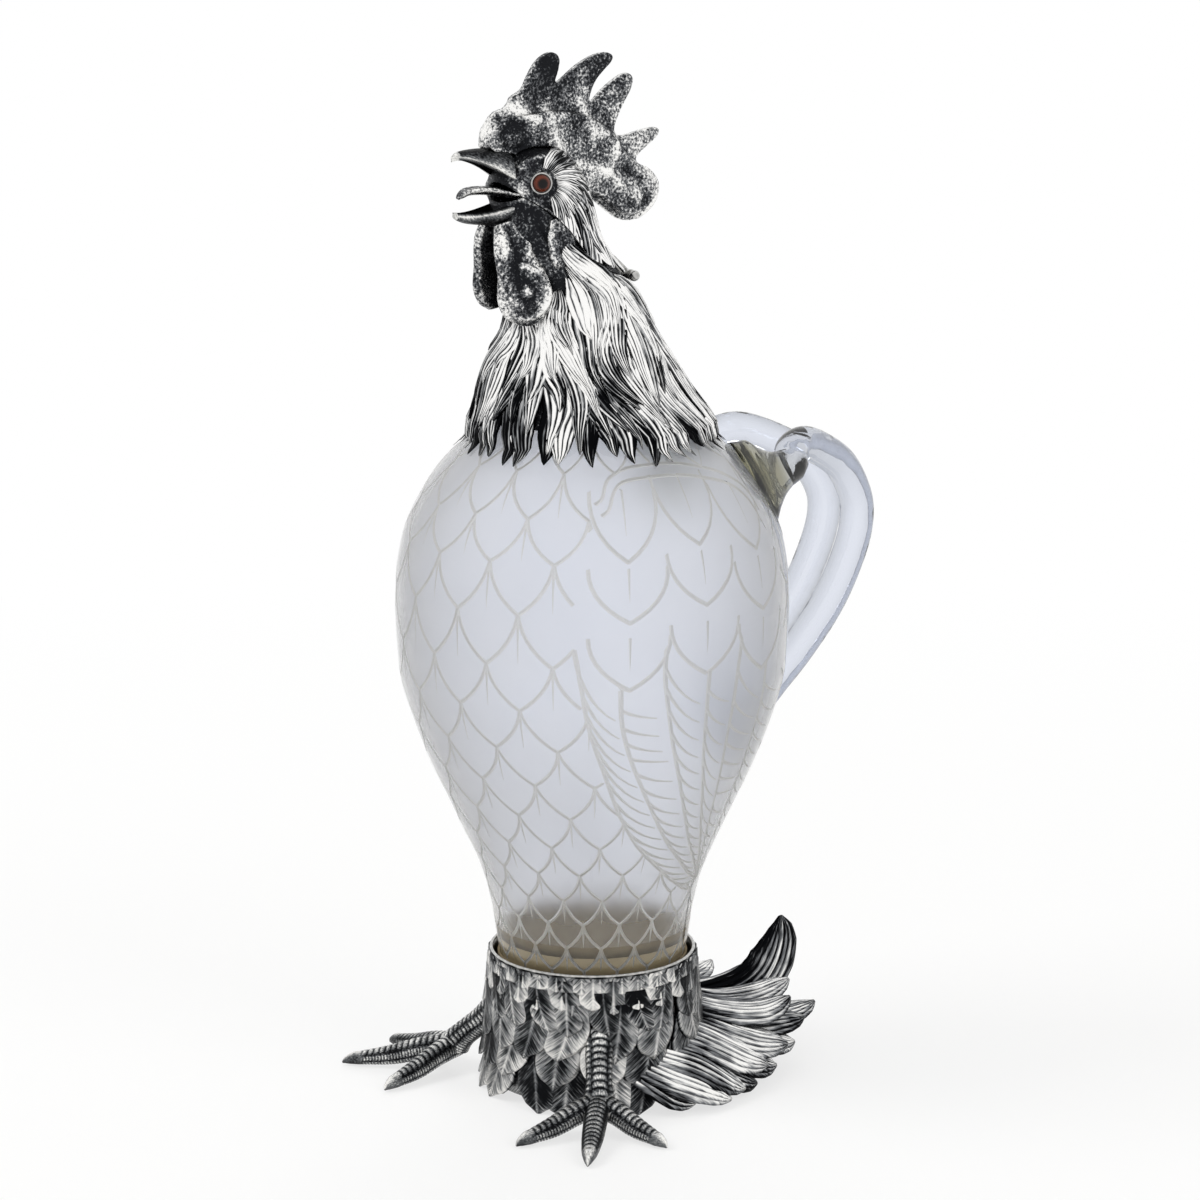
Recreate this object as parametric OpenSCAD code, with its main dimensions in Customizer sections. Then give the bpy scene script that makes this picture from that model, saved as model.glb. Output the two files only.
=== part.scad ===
// Standing rooster jug: a cut-glass body held between a cast silver head that
// tips back on a hinge and a cast silver foot with claws and a tail.
// The bird faces -Y, its left side is +X, and the floor is z = 0.

/* [Glass body] */
// Largest radius of the glass
glass_r = 69.3; // [67:0.1:71]
// Height of the glass from its base to its lip
glass_h = 222; // [216:1:228]
// Height of the glass base above the floor
glass_lift = 36; // [34:1:38]
// Thickness of the glass wall
glass_wall = 3; // [2:0.1:4]
// Thickness of the glass floor
glass_floor = 10; // [6:1:14]

/* [Handle] */
// Radius of each glass rod
rod_r = 6.2; // [5:0.1:7]
// Distance of the rods' outermost centre behind their lower end
handle_bow = 51; // [46:1:56]
// Sideways distance from the centre plane to each top pad
pad_spread = 29; // [27:1:32]
// Sideways distance from the centre plane to each rod at mid height
rod_spread = 10; // [9:0.5:12]
// Height of the pads' centres, as a share of the height of the glass
pad_share = 0.8243; // [0.81:0.005:0.84]
// Height of the lower end of the rods, as a share of the height of the glass
handle_foot_share = 0.3874; // [0.37:0.005:0.41]
// Half height of a pad where it meets the glass
pad_half_h = 16.5; // [14:0.5:18]
// Half width of a pad where it meets the glass
pad_half_w = 9.5; // [8:0.5:11]
// How far a pad stands out before it becomes the rod
pad_len = 14; // [12:0.5:16]

/* [Neck and head] */
// Height from the rim of the mane to the hinge
mane_h = 52; // [50:1:55]
// Height from the hinge to the crown of the head
head_h = 46; // [44:0.5:48]
// Radius of the head at the throat
head_r = 19.5; // [18.5:0.1:20.5]
// How far the head leans forward of the glass axis
lean = 24; // [22:0.5:26]
// Thickness of the cast silver
skin_t = 1.8; // [1.4:0.1:2.2]
// Gap between the silver mane and the glass under it
seat_gap = 0.3; // [0.2:0.05:0.4]
// Gap along the seam of the hinged head
seam_gap = 0.5; // [0.4:0.05:0.8]
// Number of pointed feather tips round the mane
mane_tips = 24; // [18:2:28]
// How far the feather tips hang below the rim
tip_drop = 6; // [5:0.5:8]
// Depth of the modelled strands
strand_d = 0.5; // [0.2:0.1:0.8]
// Height of a hackle's tip above the hackles under it
hackle_d = 1.9; // [1:0.1:2.2]
// How far the hackles' tips hang below the notches between them
hackle_drop = 6; // [4:0.5:7]

/* [Face] */
// Length of the comb
comb_l = 71.4; // [68:0.2:75]
// Height of the comb
comb_h = 58.4; // [55:0.2:62]
// Thickness of the comb's points
comb_t = 4; // [3.6:0.2:6]
// Thickness of the comb's fleshy root
comb_root_t = 9; // [7:0.5:11]
// Length of the beak in front of the face
beak_l = 10.8; // [10:0.2:12]
// Half width of the beak at its root
beak_half_w = 8; // [7:0.5:9]
// Half height of a beak at its root
beak_half_h = 7.5; // [7:0.1:8]
// Radius of a glass eye
eye_r = 3.1; // [2.8:0.1:3.4]
// Radius of the wire round an eye
bezel_r = 0.6; // [0.4:0.05:0.7]
// Length of the left wattle
wattle_l = 35; // [31:0.5:38]
// Half width of a wattle
wattle_half_w = 9; // [8:0.5:10]
// Half thickness of a wattle
wattle_half_t = 3.4; // [2.6:0.2:4]
// Length of an ear lobe
lobe_l = 16.5; // [15:0.5:18]

/* [Hinge] */
// Radius of the hinge knuckles
knuckle_r = 2; // [1.8:0.05:2.3]
// Radius of the hinge pin
pin_r = 0.8; // [0.7:0.05:0.9]
// Radial play of the hinge pin
pin_play = 0.06; // [0.02:0.01:0.1]
// Length of one knuckle
knuckle_l = 2.6; // [2.2:0.1:3]
// Radius of the balls on the ends of the pin
ball_r = 1.9; // [1.7:0.1:2.2]

/* [Foot] */
// Room for plaster between the glass and the collar's rim
collar_play = 0.9; // [0.8:0.1:1.5]
// Height of the foot collar
collar_h = 50; // [48:0.5:51]
// Thickness of the collar
collar_wall = 0.8; // [0.6:0.1:0.9]
// Radius of the wire on the collar's rim
rim_wire_r = 0.6; // [0.4:0.05:0.8]
// Radius of the feathered skirt at its hem
hem_r = 38.5; // [37.5:0.5:41]
// Height of the skirt's feather tips above the floor
hem_z = 4; // [3:0.5:5]
// Number of feathers round the hem
hem_feathers = 18; // [14:1:22]
// Thickness of the skirt's feathers
feather_t = 1.3; // [1:0.1:1.6]
// Thickness of the base plate
plate_t = 2; // [1.5:0.1:2.5]
// Distance of the base plate's edge inside the hem
plate_inset = 9; // [7:0.5:11]
// Clearance of the plaster that beds the glass
bed_gap = 0.15; // [0.1:0.05:0.2]

/* [Claws] */
// Sideways distance from the axis to the middle of the left foot
left_foot_x = 43.5; // [42:0.5:46]
// Forward distance from the axis to the middle of the left foot
left_foot_y = 25.5; // [24:0.5:28]
// Sideways distance from the axis to the middle of the right foot
right_foot_x = 36; // [34:0.5:38]
// Forward distance from the axis to the middle of the right foot
right_foot_y = 36.5; // [35:0.5:40]
// Length of a middle toe
toe_l = 39; // [36:0.5:43]
// Half width of a toe at its root
toe_half_w = 4.6; // [4:0.1:5.2]
// Radius of the shank
shank_r = 4.9; // [4.4:0.1:5.6]
// Height at which the shanks leave the foot
shank_z = 28; // [26:0.5:30]

/* [Tail] */
// Reach of the tail behind the axis
tail_l = 90; // [86:1:96]
// Half width of the tail
tail_w = 50; // [48:0.5:52]
// Height of the upright sickle feather
tail_h = 49; // [46:0.5:53]
// Half width of a tail feather
plume_half_w = 9.5; // [9:0.1:10.5]
// Half thickness of a tail feather
plume_half_t = 3; // [2.4:0.1:3.6]

/* [Hidden] */
$fn = 64;
silver = "silver";
dark_silver = "dimgray";
clear = "lightcyan";
up = [0, 0, 1];
forward = [0, -1, 0];
// Reach of the cutting slabs, past the whole jug
reach = 3 * glass_h;

// Rules shared by all pieces

function mix(a, b, t) = a + (b - a) * t;
function unit(v) = v / norm(v);
function spline_point(a, b, c, d, t) =
    0.5 * (2 * b + (c - a) * t + (2 * a - 5 * b + 4 * c - d) * t * t
        + (3 * b - a - 3 * c + d) * t * t * t);
// A smooth curve through hand-set points, with the same number of steps between each two
function smooth(points, steps) = [
    for (i = [0 : len(points) - 2], k = [0 : steps - 1])
        spline_point(points[max(i - 1, 0)], points[i], points[i + 1],
            points[min(i + 2, len(points) - 1)], k / steps),
    points[len(points) - 1]
];
// A place in the bird's own terms: to its left, forward and up
function spot(left, ahead, height) = [left, -ahead, height];

// Rings along stations of [x, y, z, half width, half thickness]; widths lie along side. A section
// is drawn in shares of both.
function section_rings(stations, side, section) = [
    for (i = [0 : len(stations) - 1])
        let (here = stations[i],
            next = stations[min(i + 1, len(stations) - 1)],
            last = stations[max(i - 1, 0)],
            along = unit([for (k = [0 : 2]) next[k] - last[k]]),
            across = unit(side - (side * along) * along),
            over = cross(along, across))
        [for (p = section)
            [here[0], here[1], here[2]] + across * here[3] * p[0] + over * here[4] * p[1]]
];
function oval_rings(stations, side, sides = 10) = section_rings(stations, side,
    [for (j = [0 : sides - 1]) [cos(360 * j / sides), sin(360 * j / sides)]]);

// Skin over rings that have as many points each; a looped skin joins its last to its first
module skin(rings, looped = false) {
    count = len(rings);
    sides = len(rings[0]);
    function mean(ring) = [for (p = ring) 1 / sides] * ring;
    function at(i, j) = (i % count) * sides + j % sides;
    walls = [for (i = [0 : (looped ? count : count - 1) - 1], j = [0 : sides - 1], half = [0, 1])
        half == 0 ? [at(i, j), at(i + 1, j), at(i + 1, j + 1)]
            : [at(i, j), at(i + 1, j + 1), at(i, j + 1)]];
    ends = [for (j = [0 : sides - 1], half = [0, 1])
        half == 0 ? [count * sides, at(0, j), at(0, j + 1)]
            : [count * sides + 1, at(count - 1, j + 1), at(count - 1, j)]];
    points = [for (ring = rings) each ring];
    polyhedron(looped ? points : concat(points, [mean(rings[0]), mean(rings[count - 1])]),
        looped ? walls : concat(walls, ends), convexity = 8);
}

// Side view outline of [ahead, height] points, pulled out sideways to a width
module slab(outline, width) {
    rotate([90, 0, -90]) linear_extrude(width, center = true) polygon(outline);
}

// The glass

// Height and radius of the outline, as shares of the glass's height and largest radius
glass_shares = [[0, 0.447], [0.009, 0.462], [0.045, 0.47], [0.081, 0.493], [0.135, 0.518],
    [0.185, 0.554], [0.234, 0.612], [0.309, 0.723], [0.408, 0.864], [0.504, 0.965],
    [0.559, 0.99], [0.635, 1], [0.703, 0.987], [0.766, 0.941], [0.829, 0.837], [0.869, 0.739],
    [0.892, 0.661], [0.919, 0.567], [0.937, 0.494], [0.955, 0.421], [0.973, 0.375], [1, 0.361]];
glass_curve = smooth(glass_shares, 3);
function glass_radius(z) = glass_r * lookup((z - glass_lift) / glass_h, glass_curve);
lip_z = glass_lift + glass_h;
floor_z = glass_lift + glass_floor;
glass_line = [for (p = glass_curve) [p[1] * glass_r, glass_lift + p[0] * glass_h]];
glass_inner_line = [
    for (i = [1 : len(glass_line) - 1])
        let (run = glass_line[min(i + 1, len(glass_line) - 1)] - glass_line[i - 1],
            p = glass_line[i] + unit([-run[1], run[0]]) * glass_wall)
        if (p[1] > floor_z + glass_wall && p[1] < lip_z - glass_wall) p
];

module glass_outside() {
    rotate_extrude() polygon(concat([[0, glass_lift]], glass_line, [[0, lip_z]]));
}

module glass_body() {
    inner_r = glass_inner_line[0][0];
    neck_r = glass_line[len(glass_line) - 1][0] - glass_wall;
    hollow = concat([[0, floor_z], [inner_r - glass_wall, floor_z]], glass_inner_line,
        [[neck_r, lip_z + glass_wall], [0, lip_z + glass_wall]]);
    color(clear, 0.4) difference() {
        glass_outside();
        rotate_extrude() polygon(hollow);
    }
}

// The handle: two rods, each drawn out of a pad high on the shoulder

pad_z = glass_lift + glass_h * pad_share;
handle_foot_z = glass_lift + glass_h * handle_foot_share;
handle_back = glass_radius(handle_foot_z);
pad_back = sqrt(pow(glass_radius(pad_z), 2) - pow(pad_spread, 2));
// Sideways, backward and upward course of a rod, as shares of its spread, bow and height
rod_shares = [[0.71, 0.22, 1.09], [0.52, 0.37, 1.105], [0.31, 0.57, 1.07], [0.12, 0.8, 1],
    [0.03, 0.945, 0.9], [0, 1, 0.8], [0, 0.95, 0.67], [0, 0.77, 0.485], [0, 0.51, 0.32],
    [0, 0.25, 0.19]];
// Way in which a pad stands out of the glass: sideways, back and up
pad_way_shares = [0.08, 0.93, 0.36];
// Course of the pad from the glass outward, and how far it has become the rod
pad_shares = [[-0.55, -0.15], [0, 0], [0.25, 0.45], [0.5, 0.75], [0.75, 0.93], [1, 1]];
// The rod's lower end: further course, and its girth as a share of the rod's radius
rod_end_shares = [[0, 0.1, 0.11, 1.15], [-0.1, -0.03, 0.045, 1.6], [-0.1, -0.14, -0.01, 1.8]];
pad_count = len(pad_shares);
function rod_place(p) = spot(mix(rod_spread, pad_spread, p[0]), -handle_back - handle_bow * p[1],
    mix(handle_foot_z, pad_z, p[2]));
function handle_stations() =
    let (root = spot(pad_spread, -pad_back, pad_z),
        way = unit(pad_way_shares),
        pad = [for (p = pad_shares) concat(root + way * pad_len * p[0],
            [mix(pad_half_w, rod_r, p[1]), mix(pad_half_h, rod_r, p[1])])],
        bend = concat([root + way * pad_len], [for (p = rod_shares) rod_place(p)],
            [rod_place(rod_end_shares[0])]),
        course = smooth(bend, 3))
    concat(pad, [for (i = [1 : len(course) - 1]) concat(course[i], [rod_r, rod_r])],
        [for (i = [1, 2]) concat(rod_place(rod_end_shares[i]),
            [rod_r * rod_end_shares[i][3], rod_r * rod_end_shares[i][3]])]);
// Widths lie sideways all along, so no ring twists
handle_rings = oval_rings(handle_stations(), [1, 0, 0], 12);
function ring_range(rings, first, last) = [for (i = [first : last]) rings[i]];
foot_ring = len(handle_rings) - 4;

module handle_rod() {
    color(clear, 0.6) difference() {
        skin(ring_range(handle_rings, pad_count - 1, foot_ring));
        glass_outside();
    }
}

module handle_pad() {
    color(clear, 0.6) difference() {
        skin(ring_range(handle_rings, 0, pad_count - 1));
        glass_outside();
    }
}

module handle_rod_left() { handle_rod(); }
module handle_rod_right() { mirror([1, 0, 0]) handle_rod(); }
module handle_pad_left() { handle_pad(); }
module handle_pad_right() { mirror([1, 0, 0]) handle_pad(); }

module handle_foot_pad() {
    color(clear, 0.6) difference() {
        for (side = [0, 1])
            mirror([side, 0, 0]) skin(ring_range(handle_rings, foot_ring, len(handle_rings) - 1));
        glass_outside();
    }
}

// The neck and head: one cast shape, sawn in two along the seam

rim_share = 0.919;
rim_z = glass_lift + glass_h * rim_share;
rim_r = glass_radius(rim_z);
throat_z = rim_z + mane_h;
// Height, forward shift and flare of the mane, as shares of its height, lean and rim
mane_shares = [[0, 0, 1.167], [0.115, 0.05, 0.985], [0.23, 0.125, 0.81], [0.44, 0.215, 0.57],
    [0.635, 0.235, 0.28], [0.865, 0.33, 0.126], [1, 0.46, 0.05]];
// Height, forward shift, radius and side-to-side narrowing of the head
head_shares = [[0.217, 0.75, 1, 0.97], [0.39, 0.86, 0.95, 0.94], [0.565, 0.9, 0.9, 0.91],
    [0.74, 0.96, 0.83, 0.9], [0.87, 0.99, 0.66, 0.9], [0.957, 1, 0.42, 0.9], [1, 1, 0.04, 0.9]];
neck_levels = smooth(concat(
    [for (m = mane_shares) [rim_z + m[0] * mane_h, m[1] * lean, mix(head_r, rim_r, m[2]), 1]],
    [for (h = head_shares) [throat_z + h[0] * head_h, h[1] * lean, h[2] * head_r, h[3]]]), 2);
neck_sides = 2 * mane_tips;
// The same levels moved inward by the thickness of the silver
neck_inner_levels = [
    for (i = [0 : len(neck_levels) - 1])
        let (here = neck_levels[i],
            run = neck_levels[min(i + 1, len(neck_levels) - 1)] - neck_levels[max(i - 1, 0)],
            out = unit([run[0], -run[2]]))
        [here[0] - skin_t * out[1], here[1], max(here[2] - skin_t * out[0], 0.1 * skin_t), here[3]]
];
function off_glass(p, gap) =
    let (least = glass_radius(p[2]) + gap, r = norm([p[0], p[1]]))
    p[2] > lip_z || r > least ? p : [p[0] * least / r, p[1] * least / r, p[2]];
// One point of a level; strands rise and fall by turns round the mane
function neck_point(level, j, relief) =
    let (turn = -360 * j / neck_sides,
        r = level[2] + relief * (j % 2 == 0 ? 0.5 : -0.5)
            * max(0, min(1, 4 * (throat_z - level[0]) / mane_h)))
    spot(level[3] * r * sin(turn), level[1] + r * cos(turn), level[0]);
function neck_ring(level, relief, gap) =
    [for (j = [0 : neck_sides - 1]) off_glass(neck_point(level, j, relief), gap)];
// Edge of the mane: tips hang low on the glass, the notches between them stay high
hem_shares = [[0.5, 0.6], [-0.35, 0.4], [-1, 0.2]];
mane_line = [for (level = neck_levels) [level[0], level[2]]];
shift_line = [for (level = neck_levels) [level[0], level[1]]];
function hem_ring(row, gap, inset) = [
    for (j = [0 : neck_sides - 1])
        let (z = rim_z + tip_drop * hem_shares[row][j % 2 == 0 ? 0 : 1])
        neck_point([z, 0, max(glass_radius(z) + gap, lookup(z, mane_line) - inset), 1], j, 0)
];
level_count = len(neck_levels);
tip_t = 0.65 * skin_t;
// Tiers of hackles above the rim: height of their tips, as shares of the mane's height
tier_shares = [0.2, 0.44, 0.7];
tier_count = len(tier_shares);
// One edge of a tier: over the hackles' tips it stands out by a lift, between them by half
function tier_ring(tier, drop, lift) = [
    for (j = [0 : neck_sides - 1])
        let (tip = (j + tier) % 2 == 1,
            z = rim_z + tier_shares[tier] * mane_h - drop + (tip ? 0 : hackle_drop),
            r = lookup(z, mane_line) + lift * (tip ? 1 : 0.5))
        off_glass(neck_point([z, lookup(z, shift_line), r, 1], j, 0), seat_gap + tip_t)
];
plain_z = rim_z + tier_shares[tier_count - 1] * mane_h + hackle_drop + skin_t;
neck_outer_rings = concat(
    [for (i = [level_count - 1 : -1 : 0]) if (neck_levels[i][0] > plain_z)
        neck_ring(neck_levels[i], strand_d, seat_gap + tip_t)],
    [for (tier = [tier_count - 1 : -1 : 0], under = [0, 1])
        tier_ring(tier, under * 0.5 * hackle_d, under ? 0 : hackle_d)],
    [neck_ring(neck_levels[2], strand_d, seat_gap + tip_t)]);
neck_inner_rings = [for (i = [2 : level_count - 1]) neck_ring(neck_inner_levels[i], 0, seat_gap)];

module neck_shell() {
    skin(concat(neck_outer_rings, [for (k = [0 : 2]) hem_ring(k, seat_gap + tip_t, 0)],
        [for (k = [2 : -1 : 0]) hem_ring(k, seat_gap, 1.5 * tip_t)], neck_inner_rings));
}

// The outside of the throat and head as a solid, for what is soldered on to it
module head_solid() {
    skin(neck_outer_rings);
}

// A place on the side view of the head, as shares of its radius and height
function head_at(p) = [lean + p[0] * head_r, throat_z + p[1] * head_h];
hinge_at = [mane_shares[6][1] * lean - mix(head_r, rim_r, mane_shares[6][2]) - knuckle_r, throat_z];
mouth_corner = head_at([0.54, 0.64]);
// The seam from the hinge to the corner of the mouth, as shares of that distance
seam_shares = [[0, 0], [0.145, 0.043], [0.33, 0.137], [0.477, 0.227], [0.579, 0.33],
    [0.657, 0.517], [0.724, 0.64], [0.824, 0.8], [0.913, 0.91], [1, 1]];
seam_line = smooth([for (s = seam_shares)
    [mix(hinge_at[0], mouth_corner[0], s[0]),
        mix(hinge_at[1] - 0.3 * knuckle_r, mouth_corner[1], s[1])]], 2);
// All that lies above the seam, moved up or down by half the gap
module above_seam(shift) {
    translate([0, 0, shift])
        slab(concat([[-reach, seam_line[0][1]]], seam_line,
            [[reach, mouth_corner[1]], [reach, reach], [-reach, reach]]), reach);
}

// The open mouth seen from the side
mouth_shares = [[0.79, 0.737], [1.07, 0.846], [2, 0.96], [2, 0.48], [1.13, 0.517], [0.82, 0.587],
    [0.62, 0.622]];
module mouth_gap() {
    slab(concat([mouth_corner], [for (p = mouth_shares) head_at(p)]), 3 * head_r);
}

// A body along the middle of the head: side view place, half width and half height in shares
function head_stations(table, wide, high) =
    [for (s = table) let (p = head_at(s)) concat(spot(0, p[0], p[1]), [s[2] * wide, s[3] * high])];
module head_form(table, wide, high, steps = 2, sides = 12) {
    skin(oval_rings(smooth(head_stations(table, wide, high), steps), [1, 0, 0], sides));
}

// Where the beaks leave the face and where they end, as shares of the head's radius
face_share = 1.08;
tip_share = 1.62;
// The tables below, drawn out so that the tip lies one beak length ahead of the face
function beak_shares(table) =
    [for (s = table) [face_share + (s[0] - face_share) * beak_l / head_r / (tip_share - face_share),
        s[1], s[2], s[3]]];
upper_beak_shares = [[0.62, 0.826, 1.02, 0.93], [0.87, 0.876, 0.9, 0.67], [1.13, 0.917, 0.7, 0.43],
    [1.38, 0.941, 0.43, 0.23], [1.54, 0.943, 0.19, 0.12], [1.62, 0.93, 0.05, 0.05]];
palate_shares = [[0.31, 0.739, 0.75, 0.67], [0.72, 0.772, 0.7, 0.67], [1.03, 0.826, 0.55, 0.43],
    [1.33, 0.891, 0.3, 0.2], [1.49, 0.913, 0.12, 0.1]];
lower_beak_shares = [[0.51, 0.548, 1, 0.61], [0.82, 0.513, 0.92, 0.51], [1.13, 0.491, 0.72, 0.36],
    [1.38, 0.487, 0.45, 0.24], [1.54, 0.496, 0.2, 0.13], [1.6, 0.502, 0.05, 0.05]];
spout_shares = [[0.1, 0.587, 0.69, 0.53], [0.51, 0.585, 0.7, 0.53], [0.82, 0.574, 0.67, 0.53],
    [1.13, 0.561, 0.52, 0.45], [1.38, 0.552, 0.3, 0.32], [1.64, 0.557, 0.1, 0.2]];
module spout_channel() {
    head_form(beak_shares(spout_shares), beak_half_w, beak_half_h);
}

// Hinge knuckles stand in a row of five: the neck has the outer two and the middle one
knuckle_gap = 0.6 * seam_gap;
knuckle_pitch = knuckle_l + knuckle_gap;
neck_knuckles = [-2, 0, 2];
lid_knuckles = [-1, 1];
module on_hinge() {
    translate(spot(0, hinge_at[0], hinge_at[1])) rotate([0, 90, 0]) children();
}
module knuckle_row(places, r, length) {
    on_hinge()
        for (k = places)
            translate([0, 0, k * knuckle_pitch]) cylinder(r = r, h = length, center = true);
}
module knuckle_room(places) {
    knuckle_row(places, knuckle_r + knuckle_gap, knuckle_l + 2 * knuckle_gap);
}
module pin_bore() {
    on_hinge() cylinder(r = pin_r + pin_play, h = 8 * knuckle_pitch, center = true);
}

module neck_mane() {
    color(silver) difference() {
        neck_shell();
        above_seam(-seam_gap / 2);
        mouth_gap();
        spout_channel();
        knuckle_room(lid_knuckles);
    }
}

module head_lid() {
    color(silver) difference() {
        intersection() {
            neck_shell();
            above_seam(seam_gap / 2);
        }
        mouth_gap();
        knuckle_room(neck_knuckles);
        for (side = [0, 1])
            mirror([side, 0, 0]) at_eye() sphere(r = eye_r + bed_gap);
    }
}

// Plaster between the neck of the glass and the silver
bed_low = rim_z + tip_drop;
bed_top = lip_z - skin_t;
bed_heights = concat([bed_low], [for (level = neck_inner_levels)
    if (level[0] > bed_low + skin_t && level[0] < bed_top - skin_t) level[0]], [bed_top]);
inner_shift_line = [for (level = neck_inner_levels) [level[0], level[1]]];
inner_line = [for (level = neck_inner_levels) [level[0], level[2]]];
module neck_bedding() {
    outer = [for (z = bed_heights)
        neck_ring([z, lookup(z, inner_shift_line), lookup(z, inner_line) - bed_gap, 1], 0, 2 * bed_gap)];
    inner = [for (z = bed_heights) neck_ring([z, 0, glass_radius(z) + bed_gap, 1], 0, bed_gap)];
    count = len(outer);
    color("wheat") skin(concat([for (i = [count - 1 : -1 : 0]) outer[i]], inner), looped = true);
}

module lower_beak() {
    color(silver) difference() {
        head_form(beak_shares(lower_beak_shares), beak_half_w, beak_half_h);
        head_solid();
        spout_channel();
    }
}

module upper_beak_form() {
    head_form(beak_shares(upper_beak_shares), beak_half_w, beak_half_h);
}

module upper_beak() {
    color(silver) difference() {
        upper_beak_form();
        head_solid();
        head_form(beak_shares(palate_shares), beak_half_w, beak_half_h);
    }
}

// The tongue widens behind the mouth into a plate that spans the head
tongue_shares = [[0.26, 0.641, 0.67, 0.12], [0.46, 0.648, 0.48, 0.13], [0.67, 0.67, 0.25, 0.15],
    [0.9, 0.69, 0.18, 0.17], [1.12, 0.694, 0.17, 0.16], [1.33, 0.686, 0.14, 0.14],
    [1.46, 0.656, 0.09, 0.11], [1.52, 0.63, 0.03, 0.05]];
module tongue() {
    color(dark_silver) difference() {
        head_form(tongue_shares, head_r, beak_half_h);
        difference() {
            neck_shell();
            mouth_gap();
        }
    }
}

// Outline of the comb, as shares of its length and height from its lowest rear corner
comb_shares = [[0.994, 0.454], [1, 0.521], [0.972, 0.609], [0.922, 0.675], [0.857, 0.693],
    [0.84, 0.754], [0.779, 0.791], [0.752, 0.847], [0.702, 0.946], [0.637, 1], [0.592, 0.998],
    [0.57, 0.958], [0.581, 0.885], [0.603, 0.818], [0.553, 0.85], [0.469, 0.926],
    [0.374, 0.98], [0.301, 0.995], [0.266, 0.965], [0.29, 0.921], [0.356, 0.848],
    [0.391, 0.776], [0.408, 0.691], [0.329, 0.774], [0.244, 0.845], [0.187, 0.872],
    [0.153, 0.841], [0.169, 0.767], [0.226, 0.654], [0.266, 0.531], [0.215, 0.506],
    [0.1, 0.535], [0.014, 0.548], [0.001, 0.506], [0.043, 0.462], [0.118, 0.396],
    [0.14, 0.351], [0.071, 0.312], [0.012, 0.239], [0.007, 0.169], [0.042, 0.084],
    [0.128, 0.013], [0.215, 0.007], [0.283, 0.052], [0.374, 0.133], [0.485, 0.2], [0.7, 0.27],
    [0.9, 0.36]];
comb_root_shares = [[0.985, 0.47], [0.97, 0.58], [0.9, 0.64], [0.79, 0.65], [0.65, 0.67],
    [0.49, 0.65], [0.35, 0.58], [0.26, 0.47], [0.18, 0.36], [0.07, 0.27], [0.05, 0.14],
    [0.14, 0.05], [0.25, 0.06], [0.374, 0.17], [0.6, 0.25], [0.9, 0.38]];
comb_rear = head_at([-2.62, 0.391]);
function comb_line(shares) =
    smooth([for (s = shares) [comb_rear[0] + s[0] * comb_l, comb_rear[1] + s[1] * comb_h]], 2);
module comb() {
    color(dark_silver) difference() {
        union() {
            slab(comb_line(comb_shares), comb_t);
            slab(comb_line(comb_root_shares), comb_root_t);
        }
        head_solid();
        upper_beak_form();
    }
}

// The eyes look sideways and a little ahead
eye_spot = head_at([0.256, 0.74]);
eye_side = 0.69 * head_r;
eye_turn = 20;
module at_eye() {
    translate(spot(eye_side, eye_spot[0], eye_spot[1])) rotate([0, 90, -eye_turn]) children();
}
module eye_left() {
    color("sienna") at_eye() sphere(r = eye_r);
}
module eye_right() {
    mirror([1, 0, 0]) eye_left();
}
module eye_bezel(side) {
    color(silver) difference() {
        mirror([side, 0, 0]) at_eye() translate([0, 0, bezel_r])
            rotate_extrude() translate([eye_r + bezel_r / 2, 0]) circle(r = bezel_r, $fn = 24);
        head_solid();
        mirror([side, 0, 0]) at_eye() sphere(r = eye_r + bed_gap);
    }
}
module eye_bezel_left() { eye_bezel(0); }
module eye_bezel_right() { eye_bezel(1); }

// Course of a wattle: sideways, ahead and down, then half width and half thickness
wattle_shares = [[0.28, 0.75, 0.02, 0.4, 0.6], [0.42, 0.69, 0.24, 0.7, 0.8],
    [0.52, 0.6, 0.48, 0.84, 0.9], [0.57, 0.54, 0.72, 1, 1], [0.56, 0.5, 0.9, 0.8, 0.8],
    [0.54, 0.48, 1, 0.25, 0.3]];
wattle_top = head_at([0, 0.46])[1];
module wattle(length, side) {
    color(dark_silver) difference() {
        mirror([side, 0, 0]) skin(oval_rings(smooth([for (s = wattle_shares)
            concat(spot(s[0] * head_r, lean + s[1] * head_r, wattle_top - s[2] * length),
                [s[3] * wattle_half_w, s[4] * wattle_half_t])], 2), spot(-0.45, 0.9, 0), 12));
        head_solid();
    }
}
module wattle_left() { wattle(wattle_l, 0); }
module wattle_right() { wattle(0.9 * wattle_l, 1); }

// An ear lobe lies on the cheek just below the seam
lobe_shares = [[0.83, 0.08, 0, 0.1, 0.06], [0.87, 0.02, 0.25, 0.267, 0.1],
    [0.9, -0.03, 0.55, 0.31, 0.12], [0.88, 0, 0.85, 0.22, 0.1], [0.84, 0.02, 1, 0.06, 0.05]];
lobe_top = head_at([0, 0.48])[1];
module ear_lobe(side) {
    color(dark_silver) difference() {
        mirror([side, 0, 0]) skin(oval_rings(smooth([for (s = lobe_shares)
            concat(spot(s[0] * head_r, lean + s[1] * head_r, lobe_top - s[2] * lobe_l),
                [s[3] * lobe_l, s[4] * lobe_l])], 2), forward, 10));
        head_solid();
        above_seam(-seam_gap / 2);
    }
}
module ear_lobe_left() { ear_lobe(0); }
module ear_lobe_right() { ear_lobe(1); }

module hinge_neck_knuckles() {
    color(silver) difference() {
        knuckle_row(neck_knuckles, knuckle_r, knuckle_l);
        head_solid();
        pin_bore();
    }
}

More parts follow.
